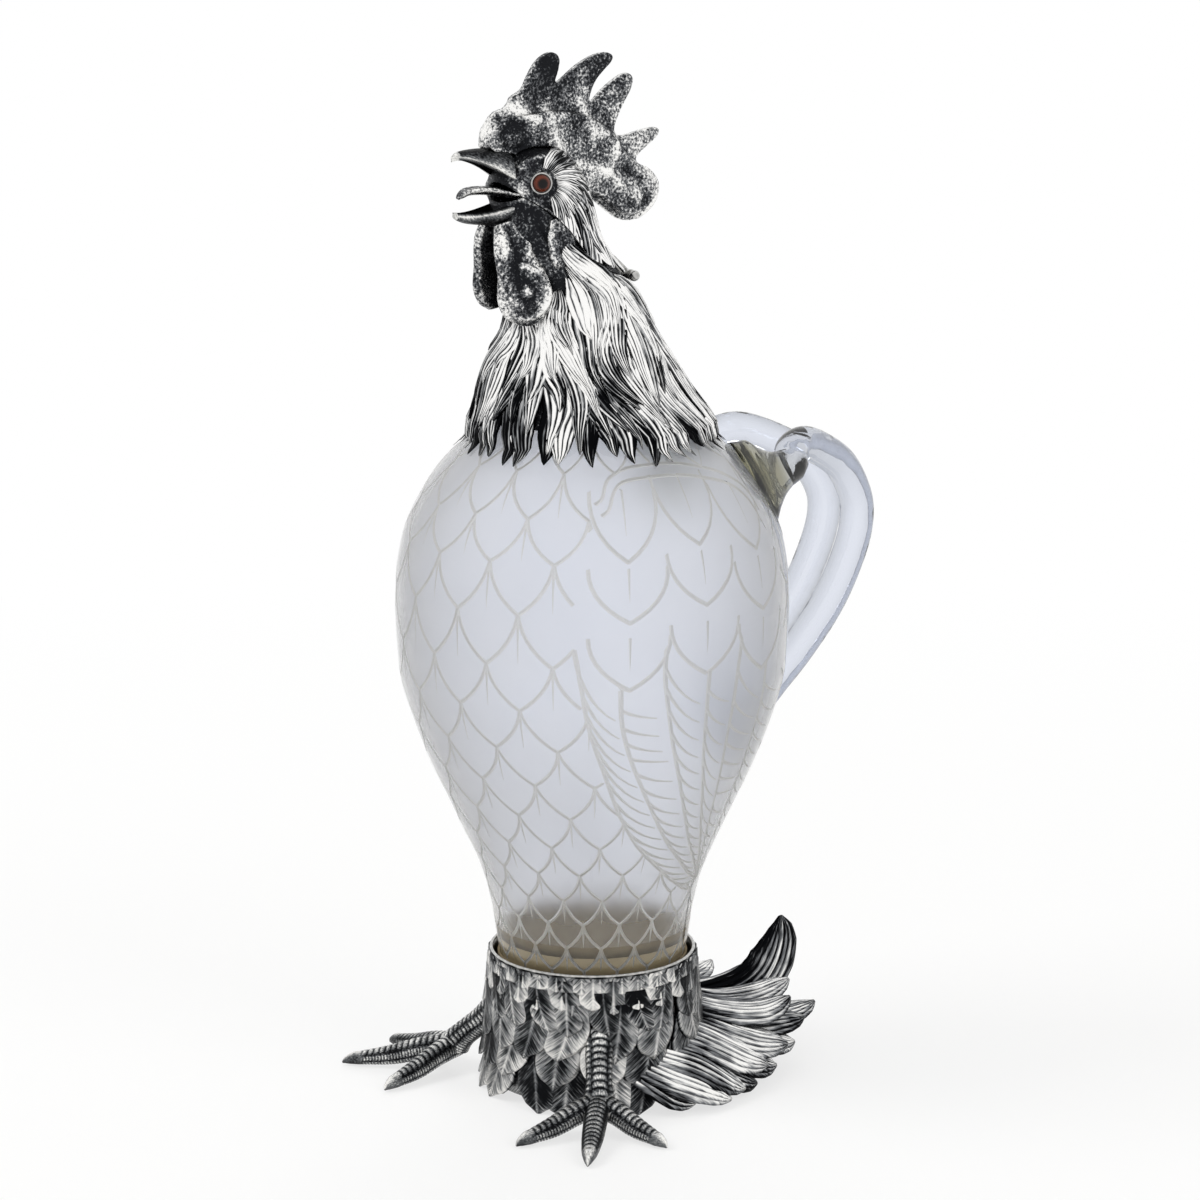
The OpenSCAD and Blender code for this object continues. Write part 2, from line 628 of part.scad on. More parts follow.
// Each lid knuckle has a leaf that lies up the nape
module hinge_lid_knuckles() {
    leaf = [[hinge_at[0] - 0.5 * knuckle_r, hinge_at[1] + 0.8 * knuckle_r],
        [hinge_at[0] + knuckle_r, hinge_at[1] - 0.1 * knuckle_r],
        [hinge_at[0] + 6 * knuckle_r, hinge_at[1] + 3 * knuckle_r],
        [hinge_at[0] + 4.6 * knuckle_r, hinge_at[1] + 5 * knuckle_r],
        [hinge_at[0] + 2.2 * knuckle_r, hinge_at[1] + 3.2 * knuckle_r]];
    color(silver) difference() {
        union() {
            knuckle_row(lid_knuckles, knuckle_r, knuckle_l);
            for (k = lid_knuckles)
                translate([k * knuckle_pitch, 0, 0]) slab(leaf, knuckle_l);
        }
        head_solid();
        pin_bore();
    }
}

module hinge_pin() {
    half = 2.5 * knuckle_pitch + ball_r;
    color(silver) on_hinge() {
        cylinder(r = pin_r, h = 2 * half, center = true);
        for (side = [-1, 1])
            translate([0, 0, side * half]) sphere(r = ball_r);
    }
}

// The foot: collar, skirt of feathers, base plate and plaster

collar_r = glass_radius(collar_h) + collar_play + collar_wall;
skirt_top_share = 0.84;
skirt_top = collar_h * skirt_top_share;
// Height and flare of the foot's outline, as shares of the skirt's height and hem
foot_shares = [[0, 1], [0.1, 0.68], [0.2, 0.42], [0.31, 0.24], [0.42, 0.12], [0.7, 0.02], [1, 0]];
function foot_radius(z) =
    mix(collar_r, hem_r - feather_t, lookup((z - hem_z) / (skirt_top - hem_z), foot_shares));
foot_levels = [for (s = foot_shares) hem_z + s[0] * (skirt_top - hem_z)];
// The collar ends above the feather tips and never shows below them
collar_low = 1.6 * hem_z;
collar_foot = [for (z = foot_levels) if (z > collar_low + collar_wall) z];
plate_r = hem_r - plate_inset;

module foot_collar() {
    outer = concat([[foot_radius(collar_low), collar_low]],
        [for (z = collar_foot) [foot_radius(z), z]], [[collar_r, collar_h]]);
    inner = [for (i = [len(outer) - 1 : -1 : 0]) outer[i] - [collar_wall, 0]];
    color(silver) rotate_extrude() polygon(concat(outer, inner));
}

module collar_rim() {
    color(silver) rotate_extrude()
        translate([collar_r - collar_wall / 2, collar_h + rim_wire_r]) circle(r = rim_wire_r, $fn = 24);
}

module base_plate() {
    color(dark_silver) cylinder(r = plate_r, h = plate_t);
}

module foot_bedding() {
    top = collar_h - rim_wire_r;
    outer = concat([[foot_radius(collar_low) - collar_wall - bed_gap, collar_low]],
        [for (z = collar_foot) [foot_radius(z) - collar_wall - bed_gap, z]],
        [[collar_r - collar_wall - bed_gap, top]]);
    inner = [for (i = [len(glass_line) - 1 : -1 : 1])
        if (glass_line[i][1] < top) glass_line[i] + [bed_gap, 0]];
    color("wheat") rotate_extrude()
        polygon(concat([[0, plate_t], [plate_r, plate_t]], outer,
            [[glass_radius(top) + bed_gap, top]], inner,
            [[glass_line[0][0], glass_lift], [0, glass_lift]]));
}

skirt_sides = 4 * hem_feathers;
// Lift of the hem between one feather tip and the next, as shares of the feather's thickness
hem_lift_shares = [2.2, 0.5, 0, 0.5];
function skirt_ring(z, out, relief, lift) = [
    for (j = [0 : skirt_sides - 1])
        let (turn = -360 * j / skirt_sides,
            high = z + lift * hem_lift_shares[j % 4] * feather_t,
            r = foot_radius(high) + out + relief * (j % 4 == 2 ? 1 : j % 4 == 0 ? -1 : 0))
        spot(r * sin(turn), r * cos(turn), high)
];
skirt_levels = [for (i = [6 : -1 : 2]) foot_levels[i]];
skirt_outer = concat([for (z = skirt_levels) skirt_ring(z, feather_t, 0.2 * feather_t, 0)],
    [skirt_ring(hem_z, feather_t, 0.2 * feather_t, 1)]);
skirt_inner = concat([skirt_ring(hem_z, bed_gap, 0, 1)],
    [for (i = [2 : 6]) skirt_ring(foot_levels[i], bed_gap, 0, 0)]);

module skirt_feathers() {
    color(silver) skin(concat(skirt_outer, skirt_inner), looped = true);
}

// The outside of the skirt and collar as a solid, for what is soldered on to it
module foot_solid() {
    low = skirt_ring(-hem_z, feather_t, 0, 0);
    skin(concat(skirt_outer, [low]));
}

// The claws

// Reach of a toe's stations as a share of its length; their height, half width and half
// thickness as shares of the half width at its root
toe_shares = [[0, 2, 1, 1], [0.28, 1.6, 0.9, 0.9], [0.55, 1, 0.82, 0.78], [0.8, 0.68, 0.62, 0.56],
    [0.88, 0.61, 0.5, 0.52], [0.96, 0.41, 0.28, 0.32], [1, 0.2, 0.06, 0.08]];
// A toe runs out from the middle of the foot at a heading, measured outward from ahead
module toe(heading, length) {
    stations = [for (s = toe_shares)
        concat(spot(length * s[0] * sin(heading), length * s[0] * cos(heading),
            toe_half_w * s[1]), [toe_half_w * s[2], toe_half_w * s[3]])];
    skin(oval_rings(smooth(stations, 2), spot(cos(heading), -sin(heading), 0), 10));
}

// A shank leaves the foot at a bearing and slopes down to the middle of the claws
module claw(middle, bearing, toes, side) {
    top = spot(0.93 * collar_r * sin(bearing), 0.93 * collar_r * cos(bearing), shank_z);
    knee = spot(middle[0], middle[1], 2 * toe_half_w);
    course = [concat(top + 0.1 * (top - knee), [1.25 * shank_r, 1.25 * shank_r]),
        concat(mix(top, knee, 0.3), [shank_r, shank_r]),
        concat(mix(top, knee, 0.75) + [0, 0, 0.2 * shank_r], [0.95 * shank_r, 0.95 * shank_r]),
        concat(knee, [1.15 * shank_r, 1.15 * shank_r]),
        concat(knee - 0.8 * shank_r * up, [0.6 * shank_r, 0.6 * shank_r])];
    color(dark_silver) difference() {
        mirror([side, 0, 0]) {
            skin(oval_rings(smooth(course, 2), spot(cos(bearing), -sin(bearing), 0), 12));
            for (t = toes)
                translate(spot(middle[0], middle[1], 0)) toe(t[0], t[1] * toe_l);
        }
        foot_solid();
    }
}
// Heading of each toe and its length as a share of a middle toe
left_toes = [[51, 0.97], [1, 0.88], [105, 0.8]];
right_toes = [[38, 1.07], [-13, 0.9], [79, 0.94]];
left_bearing = 61;
right_bearing = 30;
module left_foot() {
    claw([left_foot_x, left_foot_y], left_bearing, left_toes, 0);
}
module right_foot() {
    claw([right_foot_x, right_foot_y], right_bearing, right_toes, 1);
}

// The tail

// Root, bend and tip of each fan feather: sideways, back and up, then its width
tail_shares = [
    [[0.66, -0.08, 0.32], [0.84, 0.02, 0.22], [0.95, 0.14, 0.05], 0.8],
    [[0.62, -0.06, 0.38], [0.86, 0.12, 0.28], [1.03, 0.28, 0.05], 1],
    [[0.56, 0.08, 0.4], [0.82, 0.26, 0.28], [0.9, 0.456, 0.07], 1],
    [[0.46, 0.2, 0.44], [0.7, 0.4, 0.3], [0.78, 0.6, 0.12], 1],
    [[0.34, 0.27, 0.48], [0.54, 0.52, 0.3], [0.62, 0.755, 0.2], 1],
    [[0.2, 0.3, 0.5], [0.34, 0.64, 0.26], [0.4, 0.945, 0.39], 0.9],
    [[0.32, 0.28, 0.62], [0.44, 0.56, 0.36], [0.5, 0.78, 0.51], 0.9],
    [[0.1, 0.3, 0.64], [0.16, 0.64, 0.34], [0.24, 0.88, 0.54], 0.9]];
plume_shares = [[0, 0.55, 1], [0.2, 0.85, 1.1], [0.45, 1, 1], [0.7, 0.95, 0.8], [0.88, 0.62, 0.55],
    [1, 0.1, 0.15]];
// Section of a plume: three ribs run along one of its faces
plume_section_shares = [[1, 0], [0.75, 0.5], [0.5, 0.9], [0.25, 0.6], [0, 1], [-0.25, 0.6],
    [-0.5, 0.9], [-0.75, 0.5], [-1, 0], [-0.6, -0.75], [0, -1], [0.6, -0.75]];
function tail_at(p) = spot(p[0] * tail_w, -p[1] * tail_l, p[2] * tail_h);
// The ribs stand on the face to which a turn from the plume's course to its side points
module plume(row, side) {
    root = tail_at(row[0]);
    bend = tail_at(row[1]);
    tip = tail_at(row[2]);
    function course(t) = mix(mix(root, bend, t), mix(bend, tip, t), t);
    stations = [for (s = plume_shares)
        concat(course(s[0]), [row[3] * s[1] * plume_half_w, s[2] * plume_half_t])];
    skin(section_rings(smooth(stations, 2), side, plume_section_shares));
}

module fan_form() {
    for (side = [0, 1], row = tail_shares)
        mirror([side, 0, 0]) plume(row, unit(spot(-1, -row[0][0], 0)));
}

module tail_fan() {
    color(silver) difference() {
        fan_form();
        foot_solid();
    }
}

// The sickle feather stands on edge in the middle of the fan and curls up and back
sickle_shares = [[0, 0.42, 0.45], [0.04, 0.955, 0.29], [0.1, 0.89, 1], 1.05];
module tail_sickle() {
    color(silver) difference() {
        plume(sickle_shares, up + forward);
        fan_form();
        foot_solid();
    }
}

glass_body();
handle_rod_left();
handle_rod_right();
handle_pad_left();
handle_pad_right();
handle_foot_pad();
neck_mane();
neck_bedding();
lower_beak();
wattle_left();
wattle_right();
ear_lobe_left();
ear_lobe_right();
hinge_neck_knuckles();
hinge_pin();
head_lid();
upper_beak();
tongue();
comb();
eye_left();
eye_right();
eye_bezel_left();
eye_bezel_right();
hinge_lid_knuckles();
foot_collar();
collar_rim();
foot_bedding();
base_plate();
skirt_feathers();
tail_fan();
tail_sickle();
left_foot();
right_foot();
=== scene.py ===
import math

import bmesh
import bpy
import numpy as np
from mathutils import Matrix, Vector
from mathutils.geometry import delaunay_2d_cdt


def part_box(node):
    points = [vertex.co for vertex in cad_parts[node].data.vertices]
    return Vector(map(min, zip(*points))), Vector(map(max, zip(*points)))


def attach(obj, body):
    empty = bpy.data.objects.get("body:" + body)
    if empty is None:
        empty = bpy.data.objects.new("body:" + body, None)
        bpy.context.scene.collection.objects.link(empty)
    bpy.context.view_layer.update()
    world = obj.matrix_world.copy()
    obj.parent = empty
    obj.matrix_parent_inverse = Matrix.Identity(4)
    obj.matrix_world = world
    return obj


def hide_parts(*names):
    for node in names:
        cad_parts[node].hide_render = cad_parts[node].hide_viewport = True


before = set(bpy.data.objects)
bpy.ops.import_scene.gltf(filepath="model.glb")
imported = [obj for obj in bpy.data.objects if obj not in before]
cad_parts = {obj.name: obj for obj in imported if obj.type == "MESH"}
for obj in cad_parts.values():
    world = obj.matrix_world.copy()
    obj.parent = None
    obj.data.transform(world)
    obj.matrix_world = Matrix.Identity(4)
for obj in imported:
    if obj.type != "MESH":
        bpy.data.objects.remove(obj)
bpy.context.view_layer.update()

for node in bpy.context.selected_objects:
    node.select_set(False)

# The studio: a sweep of white paper under large soft lamps. It is white to the eye, and to the
# glass and silver that mirror it, and it keeps the jug's shadow. It is no part of the jug.


def linear(hex_colour):
    """An sRGB hex colour as linear red, green, blue and alpha."""
    parts = [int(hex_colour[i:i + 2], 16) / 255 for i in (1, 3, 5)]
    return [p / 12.92 if p <= 0.04045 else ((p + 0.055) / 1.055) ** 2.4 for p in parts] + [1]


def add_node(tree, kind, links=None, **settings):
    """Adds a node. Each input in links is joined to a socket or set to a value."""
    made = tree.nodes.new("ShaderNode" + kind)
    for name, value in settings.items():
        setattr(made, name, value)
    for name, value in (links or {}).items():
        if isinstance(value, bpy.types.NodeSocket):
            tree.links.new(value, made.inputs[name])
        else:
            made.inputs[name].default_value = value
    return made


def new_material(name, constants):
    """A material, its node tree and its Principled shader, which is given these constants."""
    material = bpy.data.materials.new(name)
    material.use_nodes = True
    shader = material.node_tree.nodes["Principled BSDF"]
    for socket, value in constants.items():
        shader.inputs[socket].default_value = value
    return material, material.node_tree, shader


def seen_directly(tree):
    """Is 1 on the rays that show what stands behind: to the eye, in a mirror, through glass."""
    path = add_node(tree, "LightPath")
    seen = path.outputs["Is Camera Ray"]
    for ray in ("Is Glossy Ray", "Is Transmission Ray"):
        either = add_node(tree, "Math", {0: seen, 1: path.outputs[ray]}, operation="MAXIMUM")
        seen = either.outputs[0]
    return seen


sweep_size = 60
bpy.ops.mesh.primitive_plane_add(size=sweep_size)
sweep = bpy.context.active_object
sweep.name = "studio_sweep"
bpy.ops.object.mode_set(mode="EDIT")
bpy.ops.mesh.subdivide(number_cuts=3)
bpy.ops.object.mode_set(mode="OBJECT")
sweep.select_set(False)

# Matt white paper: it glows white to camera, glossy and transmission rays, and
# a share of plain paper under that keeps the soft contact shadow.
paper, tree, shader = new_material("white_paper_sweep", {
    "Base Color": linear("#f2f2f0"), "Roughness": 0.9, "Specular IOR Level": 0.1})
# Distances from the jug's axis between which the glow grows from its least to full white
shadow_from, shadow_to, least_glow = 0.12, 0.9, 0.7
where = add_node(tree, "TexCoord")
apart = add_node(tree, "VectorMath", {0: where.outputs["Object"]}, operation="LENGTH")
white = add_node(tree, "MapRange", {"Value": apart.outputs["Value"], "From Min": shadow_from,
                                    "From Max": shadow_to, "To Min": least_glow, "To Max": 1})
share = add_node(tree, "Math", {0: seen_directly(tree), 1: white.outputs[0]}, operation="MULTIPLY")
glow = add_node(tree, "Emission", {"Color": (1, 1, 1, 1), "Strength": 1})
mixed = add_node(tree, "MixShader", {0: share.outputs[0], 1: shader.outputs[0], 2: glow.outputs[0]})
tree.links.new(mixed.outputs[0], tree.nodes["Material Output"].inputs["Surface"])
sweep.data.materials.append(paper)

world = bpy.data.worlds.new("studio_room")
bpy.context.scene.world = world
world.use_nodes = True
tree = world.node_tree
room_light = 0.55
strength = add_node(tree, "MapRange", {"Value": seen_directly(tree), "To Min": room_light,
                                       "To Max": 1})
tree.links.new(strength.outputs[0], tree.nodes["Background"].inputs["Strength"])
tree.nodes["Background"].inputs["Color"].default_value = (1, 1, 1, 1)

# Each lamp: place, size and power. All of them aim at the middle of the jug
lamps = {"key_lamp": [(-0.5, -1.3, 1.5), 0.9, 16], "side_lamp": [(1.5, 0.5, 1.1), 0.9, 9],
         "back_lamp": [(-1.0, 1.0, 1.3), 0.8, 8]}
lamp_aim = Vector((0, 0, 0.17))
for name, (place, size, power) in lamps.items():
    bpy.ops.object.light_add(type="AREA", location=place)
    lamp = bpy.context.active_object
    lamp.name = name
    lamp.data.size = size
    lamp.data.energy = power
    lamp.visible_glossy = False
    lamp.rotation_euler = (lamp_aim - lamp.location).to_track_quat("-Z", "Y").to_euler()
    lamp.select_set(False)

# Where the camera stood: bearing from the front, height and distance from the jug's axis
bearing, pitch, turn = math.radians(57), math.radians(12.1), math.radians(0.137)
distance, eye_height, lens = 1.15, 0.424, 100.2
bpy.ops.object.camera_add(
    location=(distance * math.sin(bearing), -distance * math.cos(bearing), eye_height),
    rotation=(math.pi / 2 - pitch, 0, bearing - turn))
camera = bpy.context.active_object
camera.data.lens = lens
camera.data.clip_end = 100
camera.select_set(False)
bpy.context.scene.camera = camera
bpy.context.scene.view_settings.view_transform = "Standard"

# The glass body: blown clear lead glass, wheel-cut all over with V-grooves into
# feathers, with a folded wing on each side. The silver mounts hold it.
MM = 0.001


def read(items, what, width=1):
    """A number or a vector of each vertex, corner or face of a mesh, as an array."""
    values = np.zeros(len(items) * width, int if width == 1 else float)
    items.foreach_get(what, values)
    return values if width == 1 else values.reshape(-1, width)


def mark(mesh, relief, lay):
    """Stores what the silver reads: the lay of each corner and the relief of each point."""
    mesh.uv_layers.new(name="lay").data.foreach_set("uv", lay.ravel())
    mesh.attributes.new("relief", "FLOAT", "POINT").data.foreach_set("value", relief)


def smooth(points, steps):
    """A smooth curve through hand-set points, with so many steps between each two."""
    p = np.array(points, float)
    curve = []
    for i in range(len(p) - 1):
        a, b, c, d = p[max(i - 1, 0)], p[i], p[i + 1], p[min(i + 2, len(p) - 1)]
        for t in np.arange(steps) / steps:
            curve.append(0.5 * (2 * b + (c - a) * t + (2 * a - 5 * b + 4 * c - d) * t ** 2
                                + (3 * b - a - 3 * c + d) * t ** 3))
    return np.array(curve + [p[-1]])


def make_piece(name, parts, materials, cut_faces=None):
    """One mesh from parts of [points in mm, faces, lay, relief]: lay runs across and along
    a feather in mm, and relief is 0 in a hollow and 1 on a ridge."""
    points = np.concatenate([p[0] for p in parts]) * MM
    lay = np.concatenate([p[2] for p in parts])
    relief = np.concatenate([p[3] for p in parts])
    faces, start = [], 0
    for part in parts:
        faces += [[start + v for v in face] for face in part[1]]
        start += len(part[0])
    mesh = bpy.data.meshes.new(name)
    mesh.from_pydata(points.tolist(), [], faces)
    piece = bpy.data.objects.new(name, mesh)
    bpy.context.collection.objects.link(piece)
    mark(mesh, relief, lay[read(mesh.loops, "vertex_index")])
    for material in materials:
        mesh.materials.append(material)
    if cut_faces is not None:
        mesh.polygons.foreach_set("material_index", np.array(cut_faces, int))
    form = bmesh.new()
    form.from_mesh(mesh)
    bmesh.ops.remove_doubles(form, verts=form.verts, dist=0.004 * MM)
    bmesh.ops.recalc_face_normals(form, faces=form.faces)
    form.to_mesh(mesh)
    form.free()
    mesh.shade_smooth()
    return piece


def sharpen(piece, degrees):
    """Keeps the edges that turn by more than so many degrees crisp."""
    bpy.context.view_layer.objects.active = piece
    piece.select_set(True)
    bpy.ops.object.shade_smooth_by_angle(angle=math.radians(degrees))
    piece.select_set(False)


glass_low, glass_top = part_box("glass_body")
glass_r, glass_lift = glass_top.x / MM, glass_low.z / MM
glass_h = glass_top.z / MM - glass_lift
glass_wall, glass_floor = 3, 19
floor_z = glass_lift + glass_floor
# The solid foot shows its plaster up to here
band_top = floor_z + 1.5
# Height and radius of the outline, as shares of the glass's height and largest radius
glass_shares = [
    (0, 0.447), (0.009, 0.462), (0.045, 0.47), (0.081, 0.493), (0.135, 0.518), (0.185, 0.554),
    (0.234, 0.612), (0.309, 0.723), (0.408, 0.864), (0.504, 0.965), (0.559, 0.99), (0.635, 1),
    (0.703, 0.987), (0.766, 0.941), (0.829, 0.837), (0.869, 0.739), (0.892, 0.661), (0.919, 0.567),
    (0.937, 0.494), (0.955, 0.421), (0.973, 0.375), (1, 0.361)]
outline = smooth(glass_shares, 4) * (glass_h, glass_r) + (glass_lift, 0)
outline_length = np.concatenate([[0], np.cumsum(np.hypot(*np.diff(outline, axis=0).T))])


def glass_radius(z):
    return np.interp(z, outline[:, 0], outline[:, 1])


# Rows of cut feathers: the height of their points, from the shoulder down, where the first
# row springs and where the last one ends, and how many feathers stand in a row
row_heights = [231, 217, 203, 186, 168.5, 153, 138.5, 125, 112.3, 100.2, 89, 78.7, 69.2, 60.2,
               51.6]
first_root, last_end = 243, 44
columns = 18
pitch_angle = 360 / columns
# The folded wing, as bearings from the breast in degrees and heights
wing_edge = [(58, 222), (55, 205), (53, 190), (52, 175), (54, 162), (56, 148), (60, 133),
             (67.5, 112.5), (80, 96.5), (105, 81), (128, 79), (130, 100), (132, 125), (131, 150),
             (130, 175), (129, 200), (126, 213.5), (124, 221.5), (115.5, 227.5), (104, 231),
             (91.5, 233), (77.5, 233), (68.5, 232), (62.5, 229), (60.5, 224)]
# Its long quills, each from its root to the tip of the wing, and the edge behind the last
quills = [
    [(52, 175), (54, 162), (56, 148), (60, 133), (67.5, 112.5), (80, 96.5), (105, 81.5), (127, 80)],
    [(65, 161), (65.7, 148), (70, 132.5), (79, 114.5), (91, 99), (112, 84.5), (127, 80)],
    [(78, 174), (78, 161.5), (82, 140), (91, 116.5), (102.5, 98.5), (117, 86), (127, 80)],
    [(92, 165), (92, 149), (95.5, 129), (104, 107.5), (116, 91), (127, 80)],
    [(104, 174), (102, 149), (105, 125), (112, 102), (121, 87), (127, 80)],
    [(117, 162), (117, 142), (119, 120), (123, 98), (127, 80)]]
rear_edge = [(130, 165), (131, 142), (131, 120), (130, 98), (128, 80)]
# Three columns of short coverts above them: bearing and half width of a column, and the
# heights of its three points
covert_bearings, covert_half_w = [67.5, 91, 114.5], 11.7
covert_tips = [[204, 184, 161], [208, 188, 164.5], [203, 182.5, 161.5]]
# Depth of the grooves, the half width from which a groove is cut so deep, and the half width
# of the lines of the wing
groove_depth, full_depth_w, wing_line_w = 0.4, 0.7, 0.75


def row_shift(z):
    """The rows drift a little round the glass towards its foot, as they were laid out by eye."""
    return np.interp(z, [79, 145], [2, -4])


def curve_between(start, bend, end, steps=8):
    t = np.linspace(0, 1, steps)[:, None]
    a, b, c = (np.array(p, float) for p in (start, bend, end))
    return a * (1 - t) ** 2 + 2 * b * t * (1 - t) + c * t ** 2


def inside(line, polygon):
    """Which points of a line lie inside a closed outline."""
    x, y = line[:, 0], line[:, 1]
    within = np.zeros(len(line), bool)
    for (x1, y1), (x2, y2) in zip(polygon, polygon[1:] + polygon[:1]):
        crosses = (y1 > y) != (y2 > y)
        with np.errstate(divide="ignore", invalid="ignore"):
            within ^= crosses & (x < (x2 - x1) * (y - y1) / (y2 - y1 + 1e-9) + x1)
    return within


def along_line(line, share):
    """The point at a share of the steps of a line."""
    return np.array([np.interp(share, np.linspace(0, 1, len(line)), line[:, k]) for k in (0, 1)])


# Half width of the groove round a feather and what each mm of its length adds, and half widths
# of the vein that runs down below its point
edge_w, edge_w_per_mm, vein_w = 0.42, 0.016, (0.6, 0.1)
# Grooves are [points of bearing and height, half width at the start and at the end]
lattice = []
for i, z in enumerate(row_heights):
    above = row_heights[i - 1] if i else first_root
    below = row_heights[i + 1] if i + 1 < len(row_heights) else last_end
    for k in range(columns + 2):
        offset = 0.3 if i % 2 == 0 else 0.8
        middle = -180 - pitch_angle + pitch_angle * (k + offset) + row_shift(z) + 4
        for side in (-1, 1):
            top = (middle + side * pitch_angle / 2 + row_shift(above) - row_shift(z), above)
            bend = (middle + side * 0.42 * pitch_angle, z + 0.4 * (above - z))
            half_width = edge_w + edge_w_per_mm * (above - z)
            lattice.append([curve_between(top, bend, (middle, z)), half_width, half_width])
        drop = 0.95 * (z - below)
        vein = curve_between((middle, z), (middle, z - drop / 2), (middle, z - drop), 5)
        lattice.append([vein, *vein_w])
# The lattice stops at the wings, and round the pads of the handle
pad_bearing, pad_height, pad_reach, pad_rise = 149.5, 219, 11, 17
pad_mask = [(pad_bearing + pad_reach * math.cos(a), pad_height + pad_rise * math.sin(a))
            for a in np.linspace(0, 2 * math.pi, 24, endpoint=False)]
grooves = []
for line, start_w, end_w in lattice:
    masked = np.zeros(len(line), bool)
    for polygon in (wing_edge, pad_mask):
        masked |= inside(line, polygon) | inside(line * (-1, 1), polygon)
    kept = np.where(~masked)[0]
    if len(kept) > 1:
        widths = np.linspace(start_w, end_w, len(line))
        for run in np.split(kept, np.where(np.diff(kept) > 1)[0] + 1):
            if len(run) > 1:
                grooves.append([line[run], widths[run]])

# The first row of coverts is longer than the others
wing, covert_rises, quill_w, barb_tip_w = [], (22, 18, 18), (0.9, 0.6), 0.25
for bearing_mid, tips in zip(covert_bearings, covert_tips):
    for rise, tip in zip(covert_rises, tips):
        root = tip + rise
        for side in (-1, 1):
            edge = bearing_mid + side * covert_half_w
            bend = (edge, tip + 0.4 * rise)
            wing.append([curve_between((edge, root), bend, (bearing_mid, tip)), wing_line_w,
                         wing_line_w])
        vein = 0.62 * rise
        wing.append([curve_between((bearing_mid, root), (bearing_mid, root - vein / 2),
                                   (bearing_mid, root - vein), 5), 0.55, 0.1])
# A double line runs over the shoulder of the wing, the lower one drawn in at both ends
shoulder, wing_middle, inset_ends = wing_edge[-9:] + wing_edge[:1], 92, 25
for inset in (0, 3.5):
    drawn_in = [inset * 0.6 * (1 if b < wing_middle else -1) * (abs(b - wing_middle) > inset_ends)
                for b, _ in shoulder]
    top_line = smooth([(b + d, z - inset) for (b, z), d in zip(shoulder, drawn_in)], 3)
    wing.append([top_line, wing_line_w, wing_line_w])
wing += [[smooth(quill, 4), *quill_w] for quill in quills]
# Barbs run from each quill down to the next, closer together where the quills meet
barbs = 17
for first, second in zip(quills, quills[1:] + [rear_edge]):
    a_line, b_line = smooth(first, 8), smooth(second, 8)
    for share in 1 - np.linspace(0, 1, barbs + 2)[1:-1] ** 0.8:
        a = along_line(a_line, 1 - share)
        b = along_line(b_line, min(1, 1 - share + 0.08))
        if b[1] > a[1] - 1:
            b[1] = a[1] - 1 - 0.25 * (b[0] - a[0])
        end = a + 0.82 * (b - a)
        bend = a + (0.3 * (b[0] - a[0]), 0.62 * (b[1] - a[1]))
        wing.append([curve_between(a, bend, end, 6), wing_line_w, barb_tip_w])
for line, start_w, end_w in wing:
    widths = np.linspace(start_w, end_w, len(line))
    grooves.append([line, widths])
    grooves.append([line * (-1, 1), widths])
# The cuts are laid out flat, where a degree of bearing takes this many mm
flat_degree = 0.9


def plane(line):
    """Bearing and height laid flat, in mm round and along the glass."""
    along = np.interp(line[:, 1], outline[:, 0], outline_length)
    return np.stack([line[:, 0] * flat_degree, along], axis=1)


def groove_depths(points, segments, bands=60, reach=3):
    """How deep the grooves cut at each point of the flat glass, band by band: a band looks
    for grooves within its reach."""
    depth = np.zeros(len(points))
    start, end, w0, w1, local = segments
    lowest, highest = np.minimum(start[:, 1], end[:, 1]), np.maximum(start[:, 1], end[:, 1])
    order = np.argsort(points[:, 1])
    for chunk in np.array_split(order, bands):
        if not len(chunk):
            continue
        low, high = points[chunk, 1].min() - reach, points[chunk, 1].max() + reach
        near = (lowest < high) & (highest > low)
        if not near.any():
            continue
        a, b, metric = start[near], end[near], np.stack([local[near], np.ones(near.sum())], 1)
        along = (b - a) * metric
        gap = (points[chunk][:, None] - a) * metric
        t = np.clip((gap * along).sum(2) / np.maximum((along ** 2).sum(1), 1e-9), 0, 1)
        away = np.linalg.norm(gap - t[:, :, None] * along, axis=2)
        width = w0[near] + (w1[near] - w0[near]) * t
        share = np.clip(1 - away / width, 0, 1) * np.minimum(1, width / full_depth_w)
        depth[chunk] = share.max(1) * groove_depth
    return depth


flat_lines = [plane(line) for line, _ in grooves]
local_stretch = [glass_radius(line[:, 1]) * math.pi / 180 / flat_degree for line, _ in grooves]
segments = [np.concatenate(part) for part in zip(*[
    (flat[:-1], flat[1:], w[:-1], w[1:], stretch[:-1])
    for flat, (_, w), stretch in zip(flat_lines, grooves, local_stretch)])]
# Points of the flat glass: both edges and the bottom of each groove, then a grid that keeps
# clear of the grooves, and lines along the seam, the ends and the top of the plaster
points, edges = [], []
for flat, (line, widths), stretch in zip(flat_lines, grooves, local_stretch):
    metric = np.stack([stretch, np.ones(len(flat))], 1)
    run = np.gradient(flat * metric, axis=0)
    run /= np.linalg.norm(run, axis=1)[:, None]
    normal = np.stack([-run[:, 1], run[:, 0]], 1) / metric
    for side in (-1, 0, 1):
        first = len(points)
        points += (flat + side * normal * widths[:, None]).tolist()
        edges += [(first + i, first + i + 1) for i in range(len(flat) - 1)]
round_steps, up_steps = 72, 60
seam_x = 180 * flat_degree
grid_s = np.linspace(0, outline_length[-1], up_steps)
grid_x = np.linspace(-seam_x, seam_x, round_steps + 1)
field = np.array([(x, s) for s in grid_s[1:-1] for x in grid_x[1:-1]])
clear_by = 0.9
wider = segments[:2] + [segments[2] + clear_by, segments[3] + clear_by, segments[4]]
points += field[groove_depths(field, wider) == 0].tolist()
